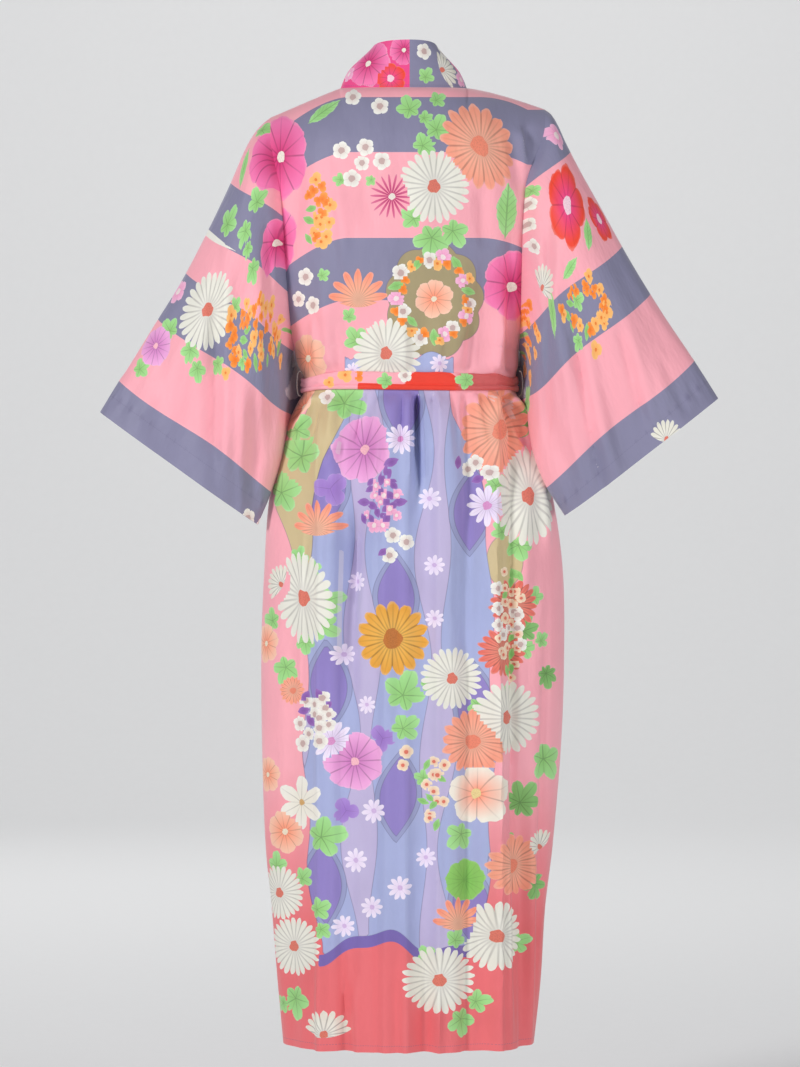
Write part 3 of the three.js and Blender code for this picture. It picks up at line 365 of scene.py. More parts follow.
# Neckband motifs near the back of the neck: kind, place across and along the band, radius, turn.
COLLAR_MOTIFS = {
    1: [("poppy", (34, 62), 34, 0.4), ("red_poppy", (12, 26), 22, 0.2), ("poppy", (52, 8), 22, 0.9),
        ("leaf", (50, 104), 18, 0.3), ("pink_blossom", (20, 98), 12, 0.5), ("oval", (58, 132), 16, 0.8)],
    -1: [("daisy_fan", (24, 48), 28, 1.3), ("blossom", (50, 22), 12, 0.4), ("leaf", (14, 22), 15, 0.6),
         ("blossom", (54, 66), 12, 0.2), ("poppy", (40, 100), 26, 0.6), ("pink_blossom", (12, 84), 12, 0.1)],
}

# Belt motifs: kind, place on the picture, radius.
BELT_MOTIFS = [("leaf", 387, 383, 10), ("bud", 359, 378, 8), ("light_bud", 346, 377, 8),
               ("leaf", 466, 382, 12), ("light_bud", 330, 384, 6), ("blossom", 405, 378, 7)]

# Turn round the waist, top, fold line and bottom height, how far the rolled edge stands out.
BELT_TABLE = np.array([
    [0, -391, -404, -411, 1.4], [0.05, -392, -403, -410, 1.2], [0.09, -387, -402, -408, 2.0],
    [0.14, -384, -401, -408, 1.6], [0.3, -386, -402, -410, 1.7], [0.4, -387, -401, -409, 2.2],
    [0.44, -391, -402, -408, 2.8], [0.48, -388, -400, -410, 2.2], [0.5, -390, -402, -409, 2.0],
    [0.62, -386, -402, -410, 1.5], [0.86, -386, -402, -410, 1.5], [1, -391, -404, -411, 1.4],
], float)


def seen(px, py):
    """Where a place on the picture lies on the robe, x and z in millimetres."""
    return (PICTURE_MIDDLE - px) * PIXEL, (PICTURE_NECK - py) * PIXEL


def in_picture(points):
    """Where the camera sees each place, as x and z on the plane through the origin."""
    nearer = CAMERA[1] / (CAMERA[1] - points[..., 1])
    x = CAMERA[0] + (points[..., 0] - CAMERA[0]) * nearer
    z = CAMERA[2] + (points[..., 2] - CAMERA[2]) * nearer
    return x, z


def smooth(value):
    t = np.clip(value, 0.0, 1.0)
    return t * t * (3.0 - 2.0 * t)


def mix(a, b, share):
    return a + (b - a) * share


def read_table(table, place, column):
    """Reads a column along a smooth curve through the rows, for an array of places."""
    place = np.asarray(place, float)
    keys = table[:, 0]
    way = -1.0 if keys[1] < keys[0] else 1.0
    after = np.clip(np.searchsorted(way * keys, way * place, side="left"), 1, len(keys) - 1)
    low = after - 1
    before = np.maximum(low - 1, 0)
    beyond = np.minimum(after + 1, len(keys) - 1)
    values = table[:, column]
    span = keys[after] - keys[low]
    t = np.clip((place - keys[low]) / span, 0.0, 1.0)
    start = (values[after] - values[before]) / (keys[after] - keys[before])
    end = (values[beyond] - values[low]) / (keys[beyond] - keys[low])
    bump = t * (1.0 - t) * span
    return mix(values[low], values[after], smooth(t)) + bump * (start * (1.0 - t) - end * t)


def belt_calm(z, reach=20.0):
    """0 under the belt, 1 clear of it."""
    return smooth((np.abs(z - BELT_LEVEL) - 12.0) / reach)


def fold_share(along, top_z, low_z):
    """How far open a fold is along its length: it closes at its ends, but not at the belt or hem."""
    if low_z < -1310:
        return smooth(along / 0.4)
    if -390 < low_z < -380:
        return smooth(along / 0.5)
    fade_in = 0.12 if -425 < top_z < -405 else 0.3
    return smooth(along / fade_in) * smooth((1.0 - along) / 0.3)


def fold_lift(face, x, z, fine=True):
    """How far folds and creases move the cloth outward."""
    lift = np.zeros(np.broadcast(x, z).shape)
    tables = [(MAIN_FOLDS, 20.0, 1.2), (FINE_FOLDS, 8.0, 2.8)] if fine else [(MAIN_FOLDS, 20.0, 1.0)]
    for table, calm, gain in tables:
        part = np.zeros_like(lift)
        for top_x, top_z, low_x, low_z, half_width, height in table[face]:
            along = (top_z - z) / (top_z - low_z)
            across = (x - mix(top_x, low_x, np.clip(along, -0.2, 1.2))) / half_width
            part += height * np.exp(-across * across) * fold_share(along, top_z, low_z)
        lift += part * gain * belt_calm(z, calm)
    return lift


def ripples(u, v, seed, count, wave, height, stretch):
    """Soft uneven waves over the cloth, from a few seeded sine trains."""
    rng = np.random.default_rng(seed)
    total = np.zeros(np.broadcast(u, v).shape)
    for _ in range(count):
        angle = rng.normal(0.0, 0.35)
        length = wave * rng.uniform(0.6, 1.7)
        phase = rng.uniform(0, 2 * math.pi)
        along = (u * math.cos(angle) + v * math.sin(angle) / stretch) * 2 * math.pi / length
        swell = 0.5 + 0.5 * np.sin(v / (wave * stretch) + rng.uniform(0, 6.28) + u / (3.0 * wave))
        total += np.sin(along + phase) * swell
    return total * height / math.sqrt(count)


def neck_x(left):
    return np.where(left, 94.0, 78.0)


def shoulder_x(left):
    return np.where(left, 189.0, 184.0)


def ridge_height(left, x):
    """Height of the shoulder line, which slopes more on the wearer's left."""
    share = np.clip((np.abs(x) - neck_x(left)) / (shoulder_x(left) - neck_x(left)), 0.0, 1.0)
    drop = np.where(left, 40.0, 29.0)
    return SHOULDER_RISE - drop * np.power(share, np.where(left, 1.05, 1.35))


def edge_depth(z):
    """How deep the armhole stands open at a height."""
    below = np.clip((-190.0 - z) / 162.0, 0.0, 1.0)
    return 54.0 * np.sqrt(1.0 - below * below)


def section(face, left, z, turn):
    """A place on the plain section of the body, with the half width and depth there."""
    half_width = np.where(left, read_table(BODY_TABLE, z, LEFT), read_table(BODY_TABLE, z, RIGHT))
    depth = read_table(BODY_TABLE, z, BACK if face > 0 else FRONT)
    reach = np.arccos(np.power(np.clip(edge_depth(z) / depth, 0.0, 1.0), 1.0 / 0.88))
    side = np.where(left, 1.0, -1.0)
    x = side * half_width * np.sin(turn * reach) / np.sin(reach)
    y = face * depth * np.power(np.maximum(0.0, np.cos(turn * reach)), 0.88)
    return x, y, half_width, depth, reach


def pushed_out(x, y, half_width, depth, lift):
    across = x / (half_width * half_width)
    through = y / (depth * depth)
    size = np.hypot(across, through) + 1e-12
    return x + across / size * lift, y + through / size * lift


def shoulder_line(left, share):
    x = mix(neck_x(left), shoulder_x(left), share)
    side = np.where(left, 1.0, -1.0)
    return side * x, np.zeros_like(x), ridge_height(left, x)


def back_top(left, turn):
    """The back's upper edge: round the neck, then along the shoulder."""
    side = np.where(left, 1.0, -1.0)
    angle = np.clip(turn / NECK_TURN, 0.0, 1.0) * math.pi / 2
    neck = (side * neck_x(left) * np.sin(angle), NECK_DEPTH * np.cos(angle),
            SHOULDER_RISE * (1.0 - np.cos(angle)))
    line = shoulder_line(left, np.clip((turn - NECK_TURN) / (1.0 - NECK_TURN), 0.0, 1.0))
    return tuple(np.where(turn <= NECK_TURN, a, b) for a, b in zip(neck, line))


def row_height(top, row, edge_share):
    """Height at a row: 0 to 1 runs down the armhole, 1 to 2 from there to the hem."""
    even = np.clip(row, 0.0, 1.0)
    curved = (1.0 - np.cos(math.pi * even)) / 2.0
    upper = mix(top, ARMHOLE_BOTTOM, mix(even, curved, edge_share))
    lower = mix(ARMHOLE_BOTTOM, HEM_HEIGHT, row - 1.0)
    return np.where(row <= 1.0, upper, lower)


def round_over(top, below, drop, turn):
    """Rounds the cloth over the shoulders, from the top edge down to the body's section."""
    radius = mix(84.0, 112.0, smooth(np.abs(turn)))
    t = np.clip(drop / radius, 0.0, 1.0)
    rolled = np.sqrt(np.maximum(0.0, 1.0 - (1.0 - t) ** 2))
    return mix(top[0], below[0], smooth(t)), mix(top[1], below[1], rolled)


def back_points(turn, row, folded=1.0):
    left = turn >= 0
    size = np.abs(turn)
    top = back_top(left, size)
    z = row_height(top[2], row, size ** 3)
    x, y, half_width, depth, _ = section(1, left, z, size)
    x, y = round_over(top, (x, y), top[2] - z, size)
    calm = (1.0 - size ** 8) * smooth((top[2] - z) / 30.0) * folded
    lift = fold_lift("back", x, z) * calm
    lift += ripples(x, z, 3, 7, 60.0, 1.5, 5.0) * calm * belt_calm(z)
    x, y = pushed_out(x, y, half_width, depth, lift)
    return np.stack([x, y, z], -1)


def front_points(side, share, row, under, extra=0.0):
    """share runs from 0 at the side to 1 at the neckband seam; extra reaches onto the band."""
    left = np.full(np.shape(share), side > 0)
    held = np.clip(share, 0.0, 1.0)
    top = shoulder_line(left, 1.0 - held)
    z = row_height(top[2], row, 1.0 - smooth(share * 1.15))
    _, _, half_width, depth, reach = section(-1, left, z, held)
    seam_x = read_table(FRONT_EDGE, z, 1) - extra
    seam_turn = np.arcsin(np.clip(seam_x * np.sin(reach) / half_width, -1.0, 1.0)) / reach
    turn = mix(1.0, seam_turn, share)
    x, y, half_width, depth, _ = section(-1, left, z, np.abs(turn))
    x = x * np.where(turn < 0, -1.0, 1.0)
    x, y = round_over(top, (x, y), np.maximum(0.0, top[2] - z), 1.0 - share)
    calm = 1.0 - (1.0 - held) ** 6
    lift = fold_lift("front", x, z) * calm
    past = smooth((-side * x + 128.0) / 34.0) * smooth((-z - 130.0) / 70.0)
    inset = UNDER_INSET * past if under else 0.0
    x, y = pushed_out(x, y, half_width, depth, lift - inset)
    return np.stack([x, y, z], -1)


def standing_points(side, seam, angle, share):
    """The neckband stands up from the neck seam and leans in, more at the sides than behind."""
    lean = mix(0.12, 0.72, smooth(angle / (math.pi / 2)))
    inward = np.stack([-side * np.sin(angle), -np.cos(angle), np.zeros_like(angle)], -1)
    rise = BAND_WIDTH * share * np.cos(lean)
    step = BAND_WIDTH * share * np.sin(lean)
    bulge = 7.0 * np.sin(math.pi * share) * smooth(angle / 1.2)
    point = seam + inward * (step - bulge)[..., None]
    point[..., 2] += rise + bulge * 0.5
    return point


def band_points(side, under, along, across):
    """along runs 0 to 1 round the back of the neck, then 1 to 3 down the front edge."""
    neck = np.clip(along, 0.0, 1.0)
    left = np.full(np.shape(along), side > 0)
    neck_seam = np.stack(back_top(left, neck * NECK_TURN), -1)
    front_row = np.clip(along - 1.0, 0.0, 2.0)
    one = np.ones_like(along)
    front_seam = front_points(side, one, front_row, under)
    seam = np.where((along < 1.0)[..., None], neck_seam, front_seam)
    fallen = np.where(along < 1.0, 0.0, SHOULDER_RISE - front_seam[..., 2])
    angle = neck * math.pi / 2 + 0.9 * smooth(fallen / 160.0)
    stood = standing_points(side, seam, angle, across)
    laid = front_points(side, one, front_row, under, across * BAND_WIDTH)
    lie = np.where(across <= 0.0, (along >= 1.0) * 1.0, smooth(fallen / 150.0))
    return stood + (laid - stood) * lie[..., None]


def sleeve_lift(turn, share):
    lift = np.zeros(np.broadcast(turn, share).shape)
    for where, start, end, width, height in SLEEVE_FOLDS:
        along = (share - start) / (end - start)
        across = (turn - where) / width
        open_share = smooth(along / 0.35) * smooth((1.0 - along) / 0.2)
        lift += height * np.exp(-across * across) * open_share
    return lift


def hanging_lift(side, x, z):
    lift = np.zeros(np.shape(x))
    for top_x, top_z, low_x, low_z, half_width, height in HANGING_FOLDS[side]:
        along = (top_z - z) / (top_z - low_z)
        across = (x - mix(top_x, low_x, np.clip(along, 0.0, 1.0))) / half_width
        open_share = smooth(along / 0.3) * smooth((1.15 - along) / 0.3)
        lift += HANGING_GAIN * height * np.exp(-across * across) * open_share
    return lift


def sleeve_plain(side, turn, share):
    """The sleeve by itself, before its seam is drawn onto the armhole."""
    outer_x, outer_z, inner_x, inner_z, rear, front, middle = (
        read_table(SLEEVE_TABLES[side], share, column) for column in range(1, 8))
    angle = 2 * math.pi * turn
    reach = (1.0 + np.cos(angle)) / 2.0
    swing = np.abs(np.sin(angle))
    full = mix(swing ** 0.9, swing, reach)
    depth = np.where(np.sin(angle) > 0, rear, front)
    lift = sleeve_lift(turn, share)
    lift += ripples(turn * 620.0, share * 420.0, 11 + side, 6, 52.0, 1.9, 6.0) * smooth(share / 0.2)
    y = middle * smooth(share / 0.3) + np.sign(np.sin(angle)) * (depth + lift) * full
    return np.stack([mix(inner_x, outer_x, reach), y, mix(inner_z, outer_z, reach)], -1)


def armhole_ring(side, turn):
    """The armhole edge of the body at a turn round it, 0 at the shoulder and back to it at 1."""
    row = 1.0 - np.abs(1.0 - 2.0 * turn)
    behind = back_points(np.full(row.shape, float(side)), row)
    ahead = front_points(side, np.zeros(row.shape), row, False)
    return np.where((turn <= 0.5)[..., None], behind, ahead)


def near_turn(turn, z, at_turn, width, at_z, reach):
    """A soft patch on the sleeve, round a turn and a height."""
    return np.exp(-((turn - at_turn) / width) ** 2) * np.exp(-((z - at_z) / reach) ** 2)


def sleeve_points(side, turn, share):
    """The hanging sleeve: it joins the armhole and swings in against the waist and the hip."""
    start = sleeve_plain(side, turn, np.zeros_like(share))
    settled = 1.0 - smooth(share / 0.3)
    points = sleeve_plain(side, turn, share) + (armhole_ring(side, turn) - start) * settled[..., None]
    toward_waist = near_turn(turn, points[..., 2], 0.63, 0.085, -412.0, 58.0) * smooth(share / 0.1)
    points[..., 0] -= side * 45.0 * toward_waist
    points[..., 1] -= 20.0 * toward_waist
    points[..., 0] -= side * 12.0 * near_turn(turn, points[..., 2], 0.5, 0.09, -505.0, 62.0)
    swing = np.sin(2 * math.pi * turn)
    lift = hanging_lift(side, points[..., 0], points[..., 2]) * smooth(share / 0.15)
    points[..., 1] += lift * np.where(swing > 0, swing, 0.7 * swing)
    return points


def grid_faces(rows, columns, ring_rows=False, ring_columns=False):
    """Faces of a grid of points, which may close into a ring either way."""
    i, j = np.meshgrid(np.arange(rows if ring_rows else rows - 1),
                       np.arange(columns if ring_columns else columns - 1), indexing="ij")
    below = (i + 1) % rows
    after = (j + 1) % columns
    return np.stack([i * columns + j, i * columns + after,
                     below * columns + after, below * columns + j], -1).reshape(-1, 4)


def tube_faces(rings, around):
    """Faces of a tube with closed ends, ring after ring."""
    faces = grid_faces(rings, around, False, True).tolist()
    faces.append(list(reversed(range(around))))
    faces.append(list(range((rings - 1) * around, rings * around)))
    return faces


def signed_volume(points, faces):
    a, b, c, d = (points[faces[:, k]] for k in range(4))
    return float(np.sum(np.cross(b, c) * a) + np.sum(np.cross(c, d) * a))


def mesh_piece(name, points, faces, material, sharp_from=None):
    """A smooth piece from points in millimetres, sharp where its faces meet at more than an angle."""
    mesh = bpy.data.meshes.new(name)
    mesh.from_pydata((np.asarray(points, float) * MM).tolist(), [], faces)
    mesh.shade_smooth()
    if sharp_from:
        mesh.set_sharp_from_angle(angle=math.radians(sharp_from))
    mesh.materials.append(material)
    piece = bpy.data.objects.new(name, mesh)
    bpy.context.scene.collection.objects.link(piece)
    return piece


def write_field(mesh, key, values):
    flat = np.asarray(values, np.float32).ravel()
    mesh.attributes.new(key, "FLOAT", "POINT").data.foreach_set("value", flat)


def write_vectors(mesh, key, values):
    flat = np.ascontiguousarray(values, np.float32).ravel()
    mesh.attributes.new(key, "FLOAT_VECTOR", "CORNER").data.foreach_set("vector", flat)


def empty_layers(faces):
    return [np.zeros((len(faces), 4, 3), np.float32) for _ in range(LAYERS)]


class Cloth:
    """A thin closed shell of cloth over a grid of points, with its print laid on it."""

    def __init__(self, name, points, printed, wall, outward=None, girth=None):
        self.name = name
        self.points = points
        self.printed = printed
        self.girth = girth
        self.closed = girth is not None
        self.fields = {}
        self.rows, self.columns = points.shape[:2]
        self.inner = points - self.normals(outward) * np.asarray(wall)[..., None]
        self.faces = grid_faces(self.rows, self.columns, False, self.closed)
        self.layers = empty_layers(self.faces)

    def normals(self, outward):
        points = self.points
        if self.closed:
            across = np.roll(points, -1, 1) - np.roll(points, 1, 1)
        else:
            across = np.gradient(points, axis=1)
        normal = np.cross(across, np.gradient(points, axis=0))
        normal /= np.linalg.norm(normal, axis=2, keepdims=True) + 1e-12
        away = outward(points) if outward else points * (1.0, 1.0, 0.0)
        flip = np.sign(np.sum(normal * away, axis=2, keepdims=True))
        return normal * np.where(flip == 0, 1.0, flip)

    def print_corners(self):
        """Print coordinates at the corners of each face, unwrapped where the tube closes."""
        corners = self.printed.reshape(-1, 2)[self.faces].copy()
        if self.closed:
            girth = self.girth.reshape(-1)[self.faces]
            jump = corners[:, 0:1, 0] - corners[:, :, 0]
            corners[:, :, 0] += np.where(jump > girth * 0.5, girth, 0.0)
        return corners

    def lay_motifs(self, motifs, find=np.array):
        """Lays each motif on its layer: every face takes the motif whose middle is nearest."""
        corners = self.print_corners()
        middle = corners.mean(1)
        diagonal = np.linalg.norm(corners[:, 0] - corners[:, 2], axis=1) * 0.6
        best = [np.full(len(self.faces), 9.0) for _ in range(LAYERS)]
        for kind, place, radius, turn in motifs:
            centre = find(place)
            if centre is None:
                continue
            layer = KINDS[kind]["layer"]
            long, wide = radius if isinstance(radius, tuple) else (radius, radius)
            c, s = math.cos(turn), math.sin(turn)
            spin = np.array([[c / long, -s / wide], [s / long, c / wide]])
            away = np.linalg.norm((middle - centre) @ spin, axis=1)
            near = (away < 1.0 + diagonal / wide) & (away < best[layer])
            best[layer][near] = away[near]
            self.layers[layer][near, :, :2] = (corners[near] - centre) @ spin
            self.layers[layer][near, :, 2] = KIND_NAMES.index(kind)

    def build(self, material):
        count = self.rows * self.columns
        rim = self.rim_faces(count)
        points = np.concatenate([self.points.reshape(-1, 3), self.inner.reshape(-1, 3)])
        faces = np.concatenate([self.faces, self.faces[:, ::-1] + count, rim])
        reverse = signed_volume(points, faces) < 0
        if reverse:
            faces = faces[:, ::-1]
        piece = mesh_piece(self.name, points, faces.tolist(), material, 62)
        self.write_attributes(piece.data, len(rim), reverse)
        return piece

    def rim_faces(self, count):
        rows, columns = self.rows, self.columns
        last = (rows - 1) * columns
        j = np.arange(columns if self.closed else columns - 1)
        after = (j + 1) % columns
        rims = [np.stack([j, j + count, after + count, after], -1),
                np.stack([last + j, last + after, last + after + count, last + j + count], -1)]
        if not self.closed:
            i = np.arange(rows - 1) * columns
            k = i + columns
            e = columns - 1
            rims.append(np.stack([i, k, k + count, i + count], -1))
            rims.append(np.stack([i + e, i + e + count, k + e + count, k + e], -1))
        return np.concatenate(rims)

    def write_attributes(self, mesh, rim, reverse):
        for key, values in self.fields.items():
            flat = np.asarray(values, np.float32).reshape(-1)
            write_field(mesh, key, np.concatenate([flat, flat]))
        outer = len(self.faces)
        laid = np.concatenate([self.print_corners(), np.zeros((outer, 4, 1))], -1)
        named = [("print", laid)] + [(f"motif_{index}", layer) for index, layer in enumerate(self.layers)]
        for key, layer in named:
            whole = np.concatenate([layer, layer[:, ::-1], np.zeros((rim, 4, 3))])
            write_vectors(mesh, key, whole[:, ::-1] if reverse else whole)
        inside = np.zeros(2 * outer + rim, np.float32)
        inside[outer:2 * outer] = 1.0
        mesh.attributes.new("inside", "FLOAT", "FACE").data.foreach_set("value", inside)


def spray(middle, spread, count, kinds, radius, hollow):
    """A cluster of small motifs inside an oval on the picture, or round it where it is hollow."""
    made = []
    for index in range(count):
        angle = index * 2.4
        out = math.sqrt(mix(hollow ** 2, 1.0, (index + 0.5) / count))
        px = middle[0] + spread[0] * out * math.cos(angle) + 1.5 * math.sin(index * 1.7)
        py = middle[1] + spread[1] * out * math.sin(angle) + 1.5 * math.cos(index * 2.3)
        size = radius * (1.0 + 0.22 * math.sin(index * 3.1))
        made.append((kinds[index % len(kinds)], px, py, size, angle))
    return made


def picture_motifs(table, sprays, start, way):
    """Motifs of the picture in millimetres; their turns there become turns in the print."""
    rows = [(kind, *row) for kind, places in table.items() for row in places]
    for cluster in sprays:
        rows += spray(*cluster)
    made = []
    for kind, px, py, radius, turn in rows:
        grown = PIXEL * (1.22 if "leaf" in kind else 1.0)
        size = tuple(r * grown for r in radius) if isinstance(radius, tuple) else radius * grown
        made.append((kind, seen(px, py), size, start + way * turn))
    return made


def scattered(seed, low, high, count, kinds):
    """Seeded motifs for the sides that the picture doesn't show, none of them touching."""
    rng = np.random.default_rng(seed)
    made = []
    tries = 0
    while len(made) < count and tries < 4000:
        tries += 1
        kind, size = kinds[int(rng.integers(len(kinds)))]
        radius = size * rng.uniform(0.8, 1.15)
        place = (rng.uniform(low[0], high[0]), rng.uniform(low[1], high[1]))
        layer = KINDS[kind]["layer"]
        clear = all(math.dist(place, other) > (radius + far) * 1.04
                    for _, other, far, _, level in made if level == layer)
        if clear:
            made.append((kind, place, radius, rng.uniform(0, 6.28), layer))
    return [row[:4] for row in made]


def rear_finder(points, printed, usable, axes=((1.0, 0.0), (0.0, 1.0))):
    """Finds the print coordinates of a place on the picture, on the side that faces the camera."""
    seen_x, seen_z = in_picture(points.reshape(-1, 3))
    laid = printed.reshape(-1, 2)
    hidden = np.where(usable.reshape(-1), 0.0, 1e6)

    def find(place):
        x, z = place
        away = np.hypot(seen_x - x, seen_z - z) + hidden
        nearest = int(np.argmin(away))
        if away[nearest] > 60.0:
            return None
        miss = np.array([x - seen_x[nearest], z - seen_z[nearest]])
        if np.hypot(*miss) < 7.0:
            return laid[nearest]
        return laid[nearest] + np.array(axes) @ miss

    return find


def linear(colour):
    """A screen colour as the linear light that shaders use."""
    share = np.array(list(bytes.fromhex(colour)), float) / 255.0
    light = np.where(share <= 0.04045, share / 12.92, ((share + 0.055) / 1.055) ** 2.4)
    return (*light.tolist(), 1.0)


def grey(level):
    return (level, level, level, 1.0)


class Shader:
    """Small helpers over a node tree."""

    def __init__(self, tree):
        self.tree = tree

    def add(self, kind, **settings):
        made = self.tree.nodes.new(kind)
        for key, value in settings.items():
            setattr(made, key, value)
        return made

    def put(self, socket, value):
        if isinstance(value, bpy.types.NodeSocket):
            self.tree.links.new(value, socket)
        else:
            socket.default_value = value

    def math(self, operation, *values):
        made = self.add("ShaderNodeMath", operation=operation)
        for index, value in enumerate(values):
            self.put(made.inputs[index], value)
        return made.outputs[0]

    def times(self, a, b):
        return self.math("MULTIPLY", a, b)

    def plus(self, a, b):
        return self.math("ADD", a, b)

    def minus(self, a, b):
        return self.math("SUBTRACT", a, b)

    def absolute(self, a):
        return self.math("ABSOLUTE", a)

    def above(self, a, b):
        return self.math("GREATER_THAN", a, b)

    def mix(self, share, a, b, blend="MIX"):
        made = self.add("ShaderNodeMix", data_type="RGBA", blend_type=blend)
        self.put(made.inputs["Factor"], share)
        self.put(made.inputs[6], a)
        self.put(made.inputs[7], b)
        return made.outputs[2]

    def attribute(self, key, output="Fac"):
        return self.add("ShaderNodeAttribute", attribute_name=key).outputs[output]

    def split(self, vector):
        made = self.add("ShaderNodeSeparateXYZ")
        self.put(made.inputs[0], vector)
        return made.outputs

    def scaled(self, vector, by):
        made = self.add("ShaderNodeVectorMath", operation="MULTIPLY")
        self.put(made.inputs[0], vector)
        made.inputs[1].default_value = by
        return made.outputs[0]

    def noise(self, vector, scale=1.0, detail=2.0):
        made = self.add("ShaderNodeTexNoise")
        self.put(made.inputs["Vector"], vector)
        made.inputs["Scale"].default_value = scale
        made.inputs["Detail"].default_value = detail
        return made.outputs["Fac"]

    def span(self, value, low, high, to_low=0.0, to_high=1.0):
        made = self.add("ShaderNodeMapRange")
        self.put(made.inputs["Value"], value)
        for key, number in (("From Min", low), ("From Max", high), ("To Min", to_low), ("To Max", to_high)):
            made.inputs[key].default_value = number
        return made.outputs["Result"]

    def pick(self, share, stops):
        """A stepped ramp: one colour for each kind of motif."""
        made = self.add("ShaderNodeValToRGB")
        ramp = made.color_ramp
        ramp.interpolation = "CONSTANT"
        for index, stop in enumerate(stops):
            place = max(0.0, (index - 0.5) / len(KIND_NAMES))
            element = ramp.elements[index] if index < 2 else ramp.elements.new(place)
            element.position = place
            element.color = stop
        self.put(made.inputs[0], share)
        return made.outputs[0]

    def numbers(self, share, *keys):
        """Three numbers of each kind of motif, held as a colour."""
        stops = [(*(KINDS[name][key] * scale for key, scale in keys), 1.0) for name in KIND_NAMES]
        return self.split(self.pick(share, stops))

    def ink(self, share, key):
        return self.pick(share, [linear(KINDS[name][key]) for name in KIND_NAMES])

    def bump(self, height, strength, distance, normal=None):
        made = self.add("ShaderNodeBump")
        made.inputs["Strength"].default_value = strength
        made.inputs["Distance"].default_value = distance
        self.put(made.inputs["Height"], height)
        if normal:
            self.put(made.inputs["Normal"], normal)
        return made.outputs["Normal"]


def motif_group():
    """One layer of printed motifs over a colour: every flower and leaf comes out of this."""
    tree = bpy.data.node_groups.new("printed_motif", "ShaderNodeTree")
    tree.interface.new_socket("Place", in_out="INPUT", socket_type="NodeSocketVector")
    tree.interface.new_socket("Under", in_out="INPUT", socket_type="NodeSocketColor")
    tree.interface.new_socket("Colour", in_out="OUTPUT", socket_type="NodeSocketColor")
    s = Shader(tree)
    given = s.add("NodeGroupInput").outputs
    x, y, kind = s.split(given["Place"])[:3]
    share = s.math("DIVIDE", kind, float(len(KIND_NAMES)))
    petal_share, inner, sharp_half = s.numbers(share, ("petals", 1 / 32), ("inner", 1.0), ("sharp", 0.5))
    core, gap, rib = s.numbers(share, ("core", 1.0), ("gap", 1.0), ("rib", 1.0))
    cut, lens, lean = s.numbers(share, ("cut", 0.8), ("lens", 1.0), ("lean", 1.0))
    side = s.absolute(y)
    not_lens = s.minus(1.0, lens)

    # Outline: petals round a middle, or a pointed oval.
    radius = s.math("SQRT", s.plus(s.times(x, x), s.times(y, y)))
    half = s.times(s.times(petal_share, 16.0), s.math("ARCTAN2", y, x))
    wave = s.absolute(s.math("COSINE", half))
    lobe = s.math("POWER", wave, s.times(sharp_half, 2.0))
    outline = s.plus(inner, s.times(s.minus(1.0, inner), lobe))
    ahead = s.minus(s.math("DIVIDE", x, s.math("MAXIMUM", radius, 0.001)), 1.0)
    outline = s.times(outline, s.math("MULTIPLY_ADD", ahead, lean, 1.0))
    lens_room = s.minus(s.times(s.minus(1.0, s.times(x, x)), inner), side)
    room = s.plus(s.times(s.minus(outline, radius), not_lens), s.times(lens_room, lens))
    wander = s.span(s.noise(given["Place"], 3.0), 0.3, 0.7, -0.05, 0.05)
    shown = s.times(s.above(room, wander), s.above(kind, 0.5))
    cupped = s.minus(x, s.times(s.times(y, y), 0.35))
    whole = s.above(cut, 0.8)
    shown = s.times(shown, s.math("MAXIMUM", s.above(cupped, s.times(cut, -1.25)), whole))

    # Lines between the petals, along them, and the veins of leaves.
    petals = s.times(petal_share, 32.0)
    gap_far = s.math("DIVIDE", s.times(wave, radius), petals)
    gap_line = s.times(s.span(gap_far, 0.005, 0.015, 1.0, 0.0), gap)
    gap_line = s.times(s.times(gap_line, not_lens), s.span(radius, 0.12, 0.6, 0.45, 1.0))
    rib_far = s.math("DIVIDE", s.times(s.absolute(s.math("SINE", half)), radius), petals)
    rib_fade = s.span(radius, 0.35, 0.95, 1.0, 0.25)
    star_rib = s.times(s.span(rib_far, 0.003, 0.014, 1.0, 0.0), rib_fade)
    vein = s.math("FRACT", s.minus(s.times(x, 4.0), s.times(side, 4.0)))
    vein = s.span(s.absolute(s.minus(vein, 0.5)), 0.02, 0.12, 0.7, 0.0)
    lens_rib = s.math("MAXIMUM", s.span(side, 0.012, 0.045, 1.0, 0.0), vein)
    rib_line = s.times(s.plus(s.times(star_rib, not_lens), s.times(lens_rib, lens)), rib)

    # Colours: from the middle to the tips, the lines, a pale rim and the speckled heart.
    body = s.mix(s.span(radius, 0.15, 0.85), s.ink(share, "main"), s.ink(share, "tip"))
    shade = s.mix(0.8, body, (0.2, 0.17, 0.2, 1.0), "MULTIPLY")
    body = s.mix(s.math("MAXIMUM", gap_line, rib_line), body, shade)
    body = s.mix(s.span(room, 0.0, 0.07, 0.3, 0.0), body, s.mix(0.5, body, (0.9, 0.9, 0.86, 1.0)))
    speck = s.span(s.noise(given["Place"], 26.0), 0.35, 0.65, 0.75, 1.1)
    speckled = s.mix(speck, (0.35, 0.3, 0.3, 1.0), grey(1.0))
    middle = s.mix(1.0, s.ink(share, "heart"), speckled, "MULTIPLY")
    body = s.mix(s.math("LESS_THAN", s.plus(radius, wander), core), body, middle)
    s.put(s.add("NodeGroupOutput").inputs["Colour"], s.mix(shown, given["Under"], body))
    return tree


def stitch_mask(s, edge, along, distance):
    """Short stitches along a line at a set distance from an edge, dashed along the edge."""
    away = s.absolute(s.minus(s.attribute(edge), distance))
    line = s.math("LESS_THAN", away, 0.45)
    dash = s.math("FRACT", s.math("DIVIDE", s.attribute(along), 3.2))
    return s.times(s.times(line, s.math("LESS_THAN", dash, 0.66)), 0.4)


